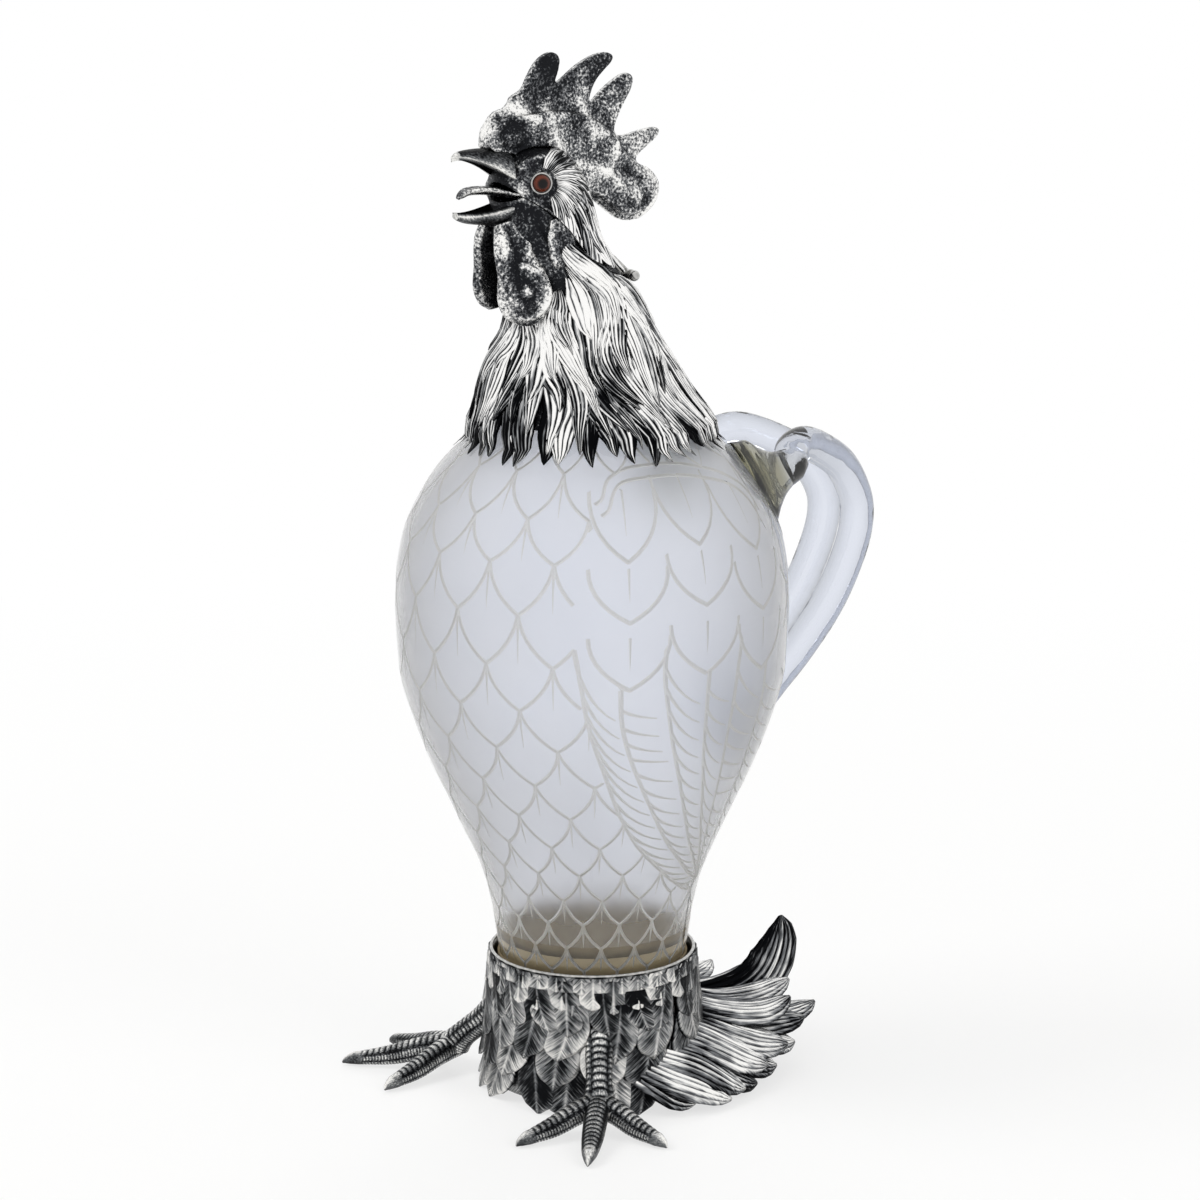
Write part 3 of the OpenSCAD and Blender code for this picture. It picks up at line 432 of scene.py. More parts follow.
for x in (-seam_x, seam_x):
    first = len(points)
    points += [(x, s) for s in grid_s]
    edges += [(first + i, first + i + 1) for i in range(up_steps - 1)]
for s in (grid_s[0], np.interp(band_top, outline[:, 0], outline_length), grid_s[-1]):
    first = len(points)
    points += [(x, s) for x in grid_x]
    edges += [(first + i, first + i + 1) for i in range(round_steps)]
flat_points, _, triangles, _, _, _ = delaunay_2d_cdt([Vector(p) for p in points], edges, [],
                                                     0, 0.01)
flat_points = np.array([tuple(p) for p in flat_points])
triangles = np.array([tuple(t) for t in triangles])
centres = flat_points[triangles].mean(1)
triangles = triangles[(np.abs(centres[:, 0]) < seam_x) & (centres[:, 1] > 0)
                      & (centres[:, 1] < outline_length[-1])]
depth = groove_depths(flat_points, segments)


def on_glass(flat, sunk, step=0.5):
    """Points of the flat glass, wrapped round the body and sunk below its surface."""
    angle = np.radians(flat[:, 0] / flat_degree)
    s = np.clip(flat[:, 1], 0, outline_length[-1])
    z, r = (np.interp(s, outline_length, outline[:, k]) for k in (0, 1))
    dz, dr = (np.interp(s + step, outline_length, outline[:, k])
              - np.interp(s - step, outline_length, outline[:, k]) for k in (0, 1))
    size = np.hypot(dz, dr)
    r, z = r - sunk * dz / size, z + sunk * dr / size
    return np.stack([r * np.sin(angle), -r * np.cos(angle), z], 1)


# Slots of the materials on the glass
slot_clear, slot_cut, slot_inner, slot_bedded, slot_band = range(5)
outer = on_glass(flat_points, depth)
relief = 1 - depth / groove_depth
cut = np.where(groove_depths(flat_points[triangles].mean(1), segments) > 0.06 * groove_depth,
               slot_cut, slot_clear)


def ring_faces(bands, steps, rows):
    """Faces of so many bands between rows of points, each row a ring of so many steps."""
    return [[i * steps + j, i * steps + (j + 1) % steps, (i + 1) % rows * steps + (j + 1) % steps,
             (i + 1) % rows * steps + j] for i in range(bands) for j in range(steps)]


def lathe(profile, steps, closed=True):
    """Points and faces of a [radius, height] line turned round the upright axis."""
    profile = np.array(profile, float)
    angle = np.linspace(-math.pi, math.pi, steps, endpoint=False)
    points = np.stack([np.outer(profile[:, 0], np.sin(angle)),
                       -np.outer(profile[:, 0], np.cos(angle)),
                       np.repeat(profile[:, 1:], steps, 1)], 2).reshape(-1, 3)
    rows = len(profile)
    return points, ring_faces(rows if closed else rows - 1, steps, rows)


run = np.gradient(outline, axis=0)
run /= np.linalg.norm(run, axis=1)[:, None]
inner = outline + np.stack([run[:, 1], -run[:, 0]], 1) * glass_wall
inner = inner[(inner[:, 0] > floor_z + glass_wall) & (inner[:, 0] < glass_lift + glass_h - 1)]
lip_r, lip_z = outline[-1, 1], glass_lift + glass_h
foot_line = [(0.01, glass_lift), (outline[0, 1] * 0.6, glass_lift), (outline[0, 1], glass_lift)]
hollow_line = [(lip_r, lip_z), (lip_r - 0.4 * glass_wall, lip_z + 0.05),
               (lip_r - glass_wall, lip_z - 0.6)]
hollow_line += [(p[1], p[0]) for p in inner[::-1]]
hollow_line += [(inner[0, 1] - 0.4 * glass_wall, floor_z + 0.4 * glass_wall),
                (inner[0, 1] - glass_wall, floor_z), (0.01, floor_z)]
parts = [[outer, triangles.tolist(), flat_points, relief]]
for line in (foot_line, hollow_line):
    p, f = lathe(line, round_steps, closed=False)
    parts.append([p, f, np.zeros((len(p), 2)), np.ones(len(p))])
# Below the rim of the collar all the glass is bedded, and its hollow ends on the plaster
face_z = outer[triangles].mean(1)[:, 2]
bedded = face_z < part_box("foot_collar")[1].z / MM - 0.7
cut[(cut == slot_clear) & (face_z < band_top)] = slot_band
floor_faces = 3 * round_steps
cut_faces = np.where(bedded, slot_bedded, cut).tolist() + [slot_bedded] * len(parts[1][1]) \
    + [slot_inner] * (len(parts[2][1]) - floor_faces) + [slot_bedded] * floor_faces

# Clear lead crystal, fire-polished: it bends what stands behind it, with a faint
# blue-grey tint where the light crosses much glass.
lead_glass_ior = 1.52
clear_glass, tree, shader = new_material("clear_lead_crystal", {
    "Transmission Weight": 1, "IOR": lead_glass_ior})
where = add_node(tree, "TexCoord")
ripple = add_node(tree, "TexNoise", {"Vector": where.outputs["Object"], "Scale": 28, "Detail": 1})
tint = add_node(tree, "Mix", {0: ripple.outputs["Fac"], 6: linear("#f3f5fa"), 7: linear("#fafbfd")},
                data_type="RGBA")
grazing = add_node(tree, "LayerWeight", {"Blend": 0.3})
rims = add_node(tree, "Mix", {0: grazing.outputs["Facing"], 6: tint.outputs[2],
                              7: linear("#e6e2d9")}, data_type="RGBA")
tree.links.new(rims.outputs[2], shader.inputs["Base Color"])
haze = add_node(tree, "MapRange", {"Value": ripple.outputs["Fac"], "To Min": 0, "To Max": 0.04})
tree.links.new(haze.outputs[0], shader.inputs["Roughness"])
bump = add_node(tree, "Bump", {"Height": ripple.outputs["Fac"], "Strength": 0.15,
                               "Distance": 0.002})
tree.links.new(bump.outputs[0], shader.inputs["Normal"])


def mottle(tree, shader, grain_mm, detail, tones):
    """Lays two tones on a shader in patches of so many mm, and gives back the patches."""
    where = add_node(tree, "TexCoord")
    patches = add_node(tree, "TexNoise", {"Vector": where.outputs["Object"],
                                          "Scale": 1 / (grain_mm * MM), "Detail": detail})
    tint = add_node(tree, "Mix", {0: patches.outputs["Fac"], 6: linear(tones[0]),
                                  7: linear(tones[1])}, data_type="RGBA")
    tree.links.new(tint.outputs[2], shader.inputs["Base Color"])
    return patches.outputs["Fac"]


# Wheel-cut glass left matt from the stone: the cuts read as soft grey-white lines,
# with the grain of the wheel drawn as coarse as it needs to show.
ground_glass, tree, shader = new_material("ground_glass_cut", {
    "Transmission Weight": 0.7, "IOR": lead_glass_ior})
grit = mottle(tree, shader, 0.5, 2, ("#d6d5d1", "#e8e7e4"))
rough = add_node(tree, "MapRange", {"Value": grit, "To Min": 0.4, "To Max": 0.65})
tree.links.new(rough.outputs[0], shader.inputs["Roughness"])

# The blown inside of the wall is uneven and breathed dull, so it blurs what stands
# behind it and spreads a pale bluish white through the body. It is clearer near the floor.
blown_glass, tree, shader = new_material("blown_inner_wall", {
    "Transmission Weight": 1, "IOR": lead_glass_ior})
bloom = mottle(tree, shader, 18, 2, ("#e6e9f2", "#f1f3f9"))
where = add_node(tree, "TexCoord")
height = add_node(tree, "SeparateXYZ", {0: where.outputs["Object"]})
clearer = add_node(tree, "MapRange", {
    "Value": height.outputs[2], "From Min": (floor_z + 4) * MM, "From Max": (floor_z + 30) * MM,
    "To Min": 0.12, "To Max": 0.36})
haze = add_node(tree, "Math", {0: bloom, 1: 0.12, 2: clearer.outputs[0]}, operation="MULTIPLY_ADD")
tree.links.new(haze.outputs[0], shader.inputs["Roughness"])

# Plaster wets the foot of the glass below the collar's rim and shows all through the
# thick foot, so there the skin of the glass is the plaster itself: beige and porous.
plaster, tree, shader = new_material("bedding_plaster", {"Roughness": 0.9})
pores = mottle(tree, shader, 6, 6, ("#7e7157", "#a39478"))
bump = add_node(tree, "Bump", {"Height": pores, "Strength": 0.5, "Distance": 0.0004})
tree.links.new(bump.outputs[0], shader.inputs["Normal"])

# Just above the rim the solid foot shows nothing but plaster, under the gloss of the glass.
# Its tones are darker than the plaster's: painted shade, for plaster seen deep in the thick glass
# foot
plaster_under_glass_in_painted_shade = plaster.copy()
plaster_under_glass_in_painted_shade.name = "bedding_plaster_under_glass"
shader = plaster_under_glass_in_painted_shade.node_tree.nodes["Principled BSDF"]
shader.inputs["Coat Weight"].default_value = 1
shader.inputs["Coat Roughness"].default_value = 0.03
tint = plaster_under_glass_in_painted_shade.node_tree.nodes["Mix"]
# Darker tones than the plaster: painted shade
tint.inputs[6].default_value, tint.inputs[7].default_value = linear("#74694f"), linear("#93866c")

glass_body = make_piece("cut_glass_body", parts, [
    clear_glass, ground_glass, blown_glass, plaster, plaster_under_glass_in_painted_shade], cut_faces)
# The plain glass keeps the shape it was blown to right up to each cut, and the cuts are flat
mesh = glass_body.data
corner_points, sizes = read(mesh.loops, "vertex_index"), read(mesh.polygons, "loop_total")
kinds = np.repeat(read(mesh.polygons, "material_index"), sizes)
flats = np.repeat(read(mesh.polygons, "normal", 3), sizes, axis=0)
corners = read(mesh.vertices, "co", 3)[corner_points] / MM
normals = read(mesh.vertices, "normal", 3)[corner_points]
radius = np.hypot(corners[:, 0], corners[:, 1])
slope = glass_radius(corners[:, 2] + 0.5) - glass_radius(corners[:, 2] - 0.5)
blown = np.stack([corners[:, 0] / radius, corners[:, 1] / radius, -slope], 1)
blown /= np.linalg.norm(blown, axis=1)[:, None]
outside = (np.abs(radius - glass_radius(corners[:, 2])) < 1) & (corners[:, 2] < lip_z - 0.5)
plain = np.isin(kinds, (slot_clear, slot_band)) & outside
normals[plain] = blown[plain]
normals[kinds == slot_cut] = flats[kinds == slot_cut]
mesh.normals_split_custom_set(normals.tolist())
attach(glass_body, "jug")
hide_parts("glass_body")

# The handle: two rods of drawn clear glass, each pulled out of a pad fused high on
# the shoulder. They run side by side down the back and end in one fused foot.


def unit(vectors):
    return vectors / np.maximum(np.linalg.norm(vectors, axis=-1, keepdims=True), 1e-9)


def oval_rings(stations, side, sides=32):
    """Oval rings along stations of x, y, z, half width and half thickness, widths along side."""
    stations = np.array(stations, float)
    along = unit(np.gradient(stations[:, :3], axis=0))
    across = unit(np.array(side, float) - (along @ np.array(side, float))[:, None] * along)
    over = np.cross(along, across)
    angle = np.linspace(0, 2 * math.pi, sides, endpoint=False)
    return (stations[:, None, :3] + across[:, None] * (stations[:, 3:4] * np.cos(angle))[:, :, None]
            + over[:, None] * (stations[:, 4:5] * np.sin(angle))[:, :, None])


def distance_along(line):
    """How far along a line of points each of them lies."""
    return np.concatenate([[0], np.cumsum(np.linalg.norm(np.diff(line, axis=0), axis=1))])


def skin(rings, relief=None, lay=None):
    """A closed part over rings that have as many points each."""
    rows, sides = rings.shape[:2]
    faces = ring_faces(rows - 1, sides, rows)
    faces += [list(range(sides))[::-1], list(range((rows - 1) * sides, rows * sides))]
    if lay is None:
        round_it = np.linalg.norm(np.diff(rings, axis=1, append=rings[:, :1]), axis=2)
        along = distance_along(rings.mean(1))
        lay = np.stack([np.cumsum(round_it, 1), np.repeat(along[:, None], sides, 1)], 2)
    relief = np.ones((rows, sides)) if relief is None else relief
    return [rings.reshape(-1, 3), faces, lay.reshape(-1, 2), relief.ravel()]


def off_glass(points, gap):
    """Moves what would sink into the glass out on to its surface."""
    r = np.hypot(points[..., 0], points[..., 1])
    least = np.where(points[..., 2] < lip_z, glass_radius(points[..., 2]) + gap, 0)
    grow = np.where(r < least, least / np.maximum(r, 1e-6), 1)
    return points * np.stack([grow, grow, np.ones_like(grow)], -1)


rod_r, pad_half_w, pad_half_h, pad_len = 6.2, 9.5, 16.5, 14
pad_spread, rod_spread, handle_bow = 29, 10, 51
pad_z, foot_z = glass_lift + 0.8243 * glass_h, glass_lift + 0.3874 * glass_h
handle_back = glass_radius(foot_z)
pad_back = math.sqrt(glass_radius(pad_z) ** 2 - pad_spread ** 2)
# Sideways, backward and upward course of a rod, as shares of its spread, bow and height
rod_shares = [(0.71, 0.22, 1.09), (0.52, 0.37, 1.105), (0.31, 0.57, 1.07), (0.12, 0.8, 1),
              (0.03, 0.945, 0.9), (0, 1, 0.8), (0, 0.95, 0.67), (0, 0.77, 0.485), (0, 0.51, 0.32),
              (0, 0.25, 0.19), (0, 0.1, 0.11)]
# Course, half width and half thickness of the foot in which both rods end
foot_shares = [((0, 0.1, 0.11), rod_r, rod_r), ((-0.06, 0.02, 0.06), 8, 8),
               ((-0.12, -0.06, 0.02), 10, 9), ((-0.1, -0.12, -0.02), 9, 7),
               ((-0.1, -0.17, -0.05), 5, 3)]
pad_way = unit(np.array([0.08, 0.93, 0.36]))
pad_root = np.array([pad_spread, pad_back, pad_z])
# Distance out of the glass, and how far the pad has become the rod
pad_shares = [(-0.45, -0.2), (-0.15, -0.06), (0, 0), (0.12, 0.2), (0.25, 0.42), (0.5, 0.75),
              (0.75, 0.93)]


def rod_place(sideways, back, upward):
    return [rod_spread + (pad_spread - rod_spread) * sideways, handle_back + handle_bow * back,
            foot_z + (pad_z - foot_z) * upward]


# Lead glass drawn thick: clear in the middle of a rod, grey at its rims, and olive
# where the pad is deepest.
drawn_glass, tree, shader = new_material("drawn_lead_glass", {
    "Transmission Weight": 1, "IOR": lead_glass_ior, "Roughness": 0.02})
drawn = add_node(tree, "Attribute", attribute_name="relief")
depth_tint = add_node(tree, "Mix", {0: drawn.outputs["Fac"], 6: linear("#87825f"),
                                    7: linear("#e0e4ee")}, data_type="RGBA")
grazing = add_node(tree, "LayerWeight", {"Blend": 0.45})
rims = add_node(tree, "Mix", {0: grazing.outputs["Facing"], 6: depth_tint.outputs[2],
                              7: linear("#5f646c")}, data_type="RGBA")
tree.links.new(rims.outputs[2], shader.inputs["Base Color"])
where = add_node(tree, "TexCoord")
ripple = add_node(tree, "TexNoise", {"Vector": where.outputs["Object"], "Scale": 1 / (12 * MM)})
bump = add_node(tree, "Bump", {"Height": ripple.outputs["Fac"], "Strength": 0.3,
                               "Distance": 0.002})
tree.links.new(bump.outputs[0], shader.inputs["Normal"])

pad_stations = [list(pad_root + pad_way * pad_len * out)
                + [pad_half_w + (rod_r - pad_half_w) * mixed,
                   pad_half_h + (rod_r - pad_half_h) * mixed]
                for out, mixed in smooth(pad_shares, 3)]
rod_stations = [list(place) + [rod_r, rod_r] for place in
                smooth([pad_root + pad_way * pad_len] + [rod_place(*s) for s in rod_shares], 6)]
on_skin = 0.05
handle_rings = off_glass(oval_rings(pad_stations + rod_stations, (1, 0, 0)), on_skin)
foot_stations = [rod_place(*place) + [wide, thick] for place, wide, thick in foot_shares]
foot_rings = off_glass(oval_rings(smooth(foot_stations, 4), (1, 0, 0)), on_skin)
# The olive of a pad ends where its rod begins
pad_rings = len(pad_stations)
clearness = np.interp(np.arange(len(handle_rings)), [0, pad_rings - 4, pad_rings + 2], [0, 0.15, 1])
clearness = np.repeat(clearness[:, None], handle_rings.shape[1], 1)
for side, name in ((1, "left"), (-1, "right")):
    handle = make_piece("glass_handle_" + name, [skin(handle_rings * (side, 1, 1), clearness)],
                        [drawn_glass])
    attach(handle, "jug")
    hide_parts("handle_rod_" + name, "handle_pad_" + name)
handle_foot = make_piece("glass_handle_foot", [skin(foot_rings), skin(foot_rings * (-1, 1, 1))],
                         [drawn_glass])
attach(handle_foot, "jug")
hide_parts("handle_foot_pad")

# Plaster beds the glass in its silver collar and under the mane: a beige, slightly porous
# fill. It shows only between the glass and the silver.
for name in ("foot_bedding", "neck_bedding"):
    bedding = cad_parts[name]
    bedding.data.materials.clear()
    bedding.data.materials.append(plaster)

# The foot: a spun silver collar with a wire rim, dressed with rows of cast feathers
# that lie over each other and flare at the hem. A flat plate closes it below.

# Sterling silver, cast and chased, then oxidised and rubbed back: ridges are bright
# and polished, hollows stay sulphide black, with fine strokes along each feather. The strokes
# and broad patches are partly that rubbing and partly painted reflection: the dark and bright
# streaks that polished silver mirrors from its surroundings.


def silver(name, tones, edges, mixing, grain_mm, grip=0.5, lie="strand"):
    """Oxidised silver. tones are its hollows, its flanks and its rubbed ridges, edges the relief
    at which each begins, and mixing how far strokes and broad patches shift them. The strokes
    lie along the strand, or slant off the quill of a vane, or are a grain without direction."""
    material, tree, shader = new_material(name, {"Metallic": 1})
    body = add_node(tree, "TexCoord")
    course, size = body.outputs["Object"], MM
    if lie != "grain":
        course, size = add_node(tree, "UVMap", uv_map="lay").outputs[0], 1
    if lie == "vane":
        apart = add_node(tree, "SeparateXYZ", {0: course})
        aside = add_node(tree, "Math", {0: apart.outputs[0]}, operation="ABSOLUTE")
        slant = add_node(tree, "Math", {0: aside.outputs[0], 1: -1.1, 2: apart.outputs[1]},
                         operation="MULTIPLY_ADD")
        course = add_node(tree, "CombineXYZ", {0: slant.outputs[0], 1: aside.outputs[0]}).outputs[0]
    stretch = add_node(tree, "Mapping", {"Vector": course,
                                         "Scale": [1 / (g * size) for g in grain_mm]})
    # The strokes and the broad patches below are partly rubbing and oxide, partly painted
    # reflection
    stroke = add_node(tree, "TexNoise", {"Vector": stretch.outputs[0], "Scale": 1, "Detail": 4,
                                         "Roughness": 0.65})
    patch = add_node(tree, "TexNoise", {"Vector": body.outputs["Object"], "Scale": 1 / (9 * MM),
                                        "Detail": 3})
    height = add_node(tree, "Attribute", attribute_name="relief")
    rub = add_node(tree, "Math", {0: height.outputs["Fac"], 1: sum(mixing) / 2},
                   operation="SUBTRACT")
    for source, share in zip((stroke, patch), mixing):
        rub = add_node(tree, "Math", {0: source.outputs["Fac"], 1: share, 2: rub.outputs[0]},
                       operation="MULTIPLY_ADD")
    ramp = add_node(tree, "ValToRGB", {0: rub.outputs[0]})
    hollow, ridge = ramp.color_ramp.elements
    hollow.position, hollow.color = edges[0], linear(tones[0])
    ridge.position, ridge.color = edges[2], linear(tones[2])
    ramp.color_ramp.elements.new(edges[1]).color = linear(tones[1])
    tree.links.new(ramp.outputs[0], shader.inputs["Base Color"])
    rough = add_node(tree, "MapRange", {"Value": rub.outputs[0], "From Min": edges[0],
                                        "From Max": edges[2], "To Min": 0.5, "To Max": 0.2})
    tree.links.new(rough.outputs[0], shader.inputs["Roughness"])
    bump = add_node(tree, "Bump", {"Height": stroke.outputs["Fac"], "Strength": grip,
                                   "Distance": 0.0003})
    tree.links.new(bump.outputs[0], shader.inputs["Normal"])
    return material


# On the hackles the rub runs in long strokes, which also paint the long dark and bright
# reflections along each strand, and the hollows between strands stay black
chased_silver = silver("chased_sterling_silver", ("#0c0d0f", "#86888a", "#fdfcfa"),
                       (0.19, 0.4, 0.64), (1.1, 0.8), (0.6, 12, 1))
# On the foot fine barbs are hatched off each quill under an even grey bloom
plumage_silver = silver("hatched_sterling_silver", ("#141517", "#77797b", "#e6e4e0"),
                        (0.14, 0.42, 0.85), (2.2, 1.1), (0.5, 6, 1), lie="vane")


def blade(base, normal, rise, thick, strands, start, tone):
    """One feather on a grid of base points, ridged above and closed below: so many strands, or a
    vane with a quill when they are 0. start sets its own pattern, and tone shifts its rub."""
    rows, cols = base.shape[:2]
    s = np.linspace(-1, 1, cols)
    arch = np.sqrt(np.maximum(0, 1 - s ** 2))
    own = np.random.default_rng(int(1e4 * start) + rows)
    if strands:
        which = np.minimum(strands - 1, (strands * (s + 1) / 2).astype(int))
        ridge = np.abs(np.sin(math.pi * strands * (s + 1) / 2)) ** 1.1
        height = 0.5 * arch + 0.5 * ridge * arch ** 0.25 * own.uniform(0.6, 1, strands)[which]
        relief = ridge * (0.35 + 0.65 * arch) * own.uniform(0.5, 1.2, strands)[which]
    else:
        quill = np.exp(-(s / 0.09) ** 2)
        height = 0.85 * arch ** 0.6 + 0.15 * quill
        relief = (0.3 + 0.45 * np.abs(s) ** 1.5) * (np.abs(s) < 0.96) + 0.4 * quill
    top = base + normal * (rise[:, None] + thick[:, None] * height)[:, :, None]
    middle = cols // 2
    under = base[:, middle] + normal[:, middle] * (rise - 0.5 * thick)[:, None]
    rings = np.concatenate([top, under[:, None]], 1)
    wide = np.linalg.norm(base[:, -1] - base[:, 0], axis=1) / 2
    along = np.repeat(distance_along(base[:, middle])[:, None], cols, 1) + 17 * start
    lay = np.stack([s[None] * wide[:, None], along], 2)
    lay = np.concatenate([lay, lay[:, middle:middle + 1]], 1)
    relief = relief + np.zeros((rows, 1)) + np.reshape(tone, (-1, 1))
    relief = np.concatenate([relief, np.zeros((rows, 1))], 1)
    return skin(rings, relief, lay)


collar_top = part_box("foot_collar")[1]
collar_r, collar_h = collar_top.x / MM, collar_top.z / MM
hem_r, hem_z, feather_t = 38.5, 4, 1.3
skirt_top = 0.84 * collar_h
# Height and flare of the foot's outline, as shares of the skirt's height and hem
flare_shares = np.array([(0, 1), (0.1, 0.68), (0.2, 0.42), (0.31, 0.24), (0.42, 0.12),
                         (0.7, 0.02), (1, 0)])


def foot_radius(z):
    share = np.interp((z - hem_z) / (skirt_top - hem_z), flare_shares[:, 0], flare_shares[:, 1])
    return collar_r + (hem_r - feather_t - collar_r) * share


# Rows of points along a foot feather, and the share of its length where its round end begins
feather_steps, round_from = 12, 0.62


def foot_feather(bearing, root_z, tip_z, half_width, lift, thick, tip_out, twist, start, tone):
    """A rounded feather that lies on the collar and stands off it at its tip."""
    v = np.linspace(0, 1, feather_steps)
    s = np.linspace(-1, 1, 17)
    z = root_z + (tip_z - root_z) * v
    rounding = np.clip(1 - ((v - round_from) / 0.385) ** 2, 0, 1)
    shape = np.minimum(1, 0.65 + 0.7 * v) * np.sqrt(rounding * (v > round_from)
                                                   + (v <= round_from))
    across = s[None] * half_width * shape[:, None]
    droop = -0.12 * half_width * (1 - s[None] ** 2) * v[:, None]
    z = z[:, None] + droop + 0 * across
    r = foot_radius(z) + lift + tip_out * v[:, None] ** 2 * (1 - 0.3 * s[None] ** 2)
    angle = math.radians(bearing) + (across + twist * v[:, None] ** 1.5) / r
    base = np.stack([r * np.sin(angle), -r * np.cos(angle), np.maximum(z, 0.4)], 2)
    normal = np.stack([np.sin(angle), -np.cos(angle), 0 * angle], 2)
    return blade(base, normal, np.zeros(feather_steps),
                 thick * (0.75 + 0.25 * v) * np.where(v > 0.97, 0.6, 1), 0, start, tone)


def turned(profile, steps, relief):
    """A closed part turned from [radius, height], with the same relief all over."""
    points, faces = lathe(profile, steps)
    return [points, faces, points[:, [0, 2]], np.full(len(points), relief)]


rng = np.random.default_rng(7)
# Each row of feathers: count, root height, tip height, half width, lift, stand-off at the tip
feather_rows = [(16, 23, 0.2, 9.2, 0.4, 3.8), (14, 32, 11, 9.2, 0.8, 2.8),
                (15, 40.5, 20, 8.5, 1, 2), (20, 45, 30, 6.4, 0.8, 1.3),
                (26, 48.8, 38, 5.6, 0.35, 0.8), (32, 50, 44, 4.4, 0.1, 0.3)]
# Thickness of a feather, and its tone from root to tip on the two upper rows and on the others.
# The roots and the lower rows are darker and the tips lighter: partly rubbing, partly painted light
# and shade
cast_t = 1.2
upper_rows_rub_and_shading, lower_rows_rub_and_shading = (-0.05, 0.5), (-0.25, 0.12)
parts = []
for row, (count, root_z, tip_z, half_width, lift, out) in enumerate(feather_rows):
    for k in range(count):
        turn = 360 / count * (k + 0.5 * (row % 2)) + rng.uniform(-2, 2)
        # Each feather is painted darker at its root and lighter at its tip, partly as rubbing and
        # partly as light and shade
        rub = np.linspace(*(upper_rows_rub_and_shading if row > 3 else lower_rows_rub_and_shading), feather_steps)
        tone = rng.uniform(-0.35, 0.1) + rub
        parts.append(foot_feather(turn, root_z, tip_z + rng.uniform(-0.8, 1.2), half_width, lift,
                                  cast_t, out, rng.uniform(-7, 7) * (row < 4), rng.uniform(0, 9),
                                  tone))
# A thin wall carries the feathers
wall_foot, wall_top = 3.6, skirt_top + 3
parts.append(turned([(foot_radius(z) + 0.3, z) for z in np.linspace(wall_foot, wall_top, 14)]
                    + [(foot_radius(z) + 0.1, z) for z in np.linspace(wall_top, wall_foot, 14)],
                    steps=72, relief=0.38))
skirt = make_piece("feathered_skirt", parts, [plumage_silver])
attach(skirt, "jug")
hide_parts("skirt_feathers")

# The collar: a plain wall of sheet silver, turned thin, that shows above the feathers. A drawn
# wire is soldered along its rim.
collar_foot, collar_wall = 6.4, 0.8
collar_line = [(foot_radius(z), z) for z in np.linspace(collar_foot, collar_h, 16)]
collar_line += [(foot_radius(z) - collar_wall, z) for z in np.linspace(collar_h, collar_foot, 16)]
collar = make_piece("foot_collar_band", [turned(collar_line, steps=96, relief=0.45)],
                    [plumage_silver])
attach(collar, "jug")
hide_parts("foot_collar")

# Polished sterling, rubbed bright with a soft grey bloom and faint rubbing marks. Its dark grey
# patches are partly that bloom and partly painted reflection of dark surroundings
polished_silver, tree, shader = new_material("polished_sterling_silver", {"Metallic": 1})
bloom = mottle(tree, shader, 1.5, 4, ("#6b6c6d", "#e6e5e1"))
rough = add_node(tree, "MapRange", {"Value": bloom, "To Min": 0.3, "To Max": 0.12})
tree.links.new(rough.outputs[0], shader.inputs["Roughness"])


def take_over(piece, name, material, node_names, body="jug", smooth_at=35):
    """Names a modelled piece, bakes its place into its mesh and hands it to the frame."""
    piece.name = name
    piece.select_set(True)
    bpy.context.view_layer.objects.active = piece
    bpy.ops.object.transform_apply(location=True, rotation=True, scale=True)
    bpy.ops.object.shade_smooth_by_angle(angle=math.radians(smooth_at))
    piece.select_set(False)
    mesh = piece.data
    mesh.materials.clear()
    mesh.materials.append(material)
    for layer in list(mesh.uv_layers):
        mesh.uv_layers.remove(layer)
    lay = read(mesh.vertices, "co", 3)[read(mesh.loops, "vertex_index")][:, [0, 2]] / MM
    mark(mesh, np.full(len(mesh.vertices), 0.7), lay)
    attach(piece, body)
    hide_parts(*node_names)


rim_wire_r = 0.6
bpy.ops.mesh.primitive_torus_add(location=(0, 0, (collar_h + rim_wire_r) * MM), major_segments=144,
                                 minor_segments=14, major_radius=(collar_r - 0.4) * MM,
                                 minor_radius=rim_wire_r * MM)
take_over(bpy.context.active_object, "collar_rim_wire", polished_silver, ["collar_rim"])

# The base plate: sheet silver that closes the foot from below, let into the collar. Its edge is
# eased, and a broad shallow ring is turned into its underside.
plate_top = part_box("base_plate")[1]
plate_r, plate_t = plate_top.x, plate_top.z
bpy.ops.mesh.primitive_cylinder_add(vertices=96, radius=plate_r, depth=plate_t,
                                    location=(0, 0, plate_t / 2))
plate = bpy.context.active_object
bpy.ops.object.mode_set(mode="EDIT")
bpy.ops.mesh.select_all(action="DESELECT")
bpy.ops.object.mode_set(mode="OBJECT")
for face in plate.data.polygons:
    face.select = face.normal.z < -0.9
bpy.ops.object.mode_set(mode="EDIT")
# The underside is drawn in by so many mm, and sunk by so many
for inset, sunk in ((3, 0), (0.6, 0.3), (12, 0), (0.5, -0.3)):
    bpy.ops.mesh.inset(thickness=inset * MM, depth=-sunk * MM)
bpy.ops.object.mode_set(mode="OBJECT")
easing = plate.modifiers.new("eased_edge", "BEVEL")
easing.width, easing.segments, easing.limit_method = 0.4 * MM, 3, "ANGLE"
bpy.ops.object.modifier_apply(modifier="eased_edge")
# The plate is oxidised, and its dark tones are painted shade besides: it stands in the shadow under
# the skirt
plate_silver_in_painted_shade = silver("oxidised_sterling_silver_in_painted_shade", ("#1a1b1e", "#4a4b4d", "#a9a9a8"), (0.4, 0.65, 1),
                     (0.8, 0.8), (0.6, 0.6, 0.6), lie="grain")
take_over(plate, "turned_base_plate", plate_silver_in_painted_shade, ["base_plate"])

# The tail: twenty-four cast plumes, twelve a side, that fan out behind on the floor, and one
# sickle plume that stands on edge and curls up. Each is chased in strands and soldered at its root.
tail_l, tail_w, tail_h, plume_half_w = 90, 50, 49, 9.5
floor_clear = 0.6
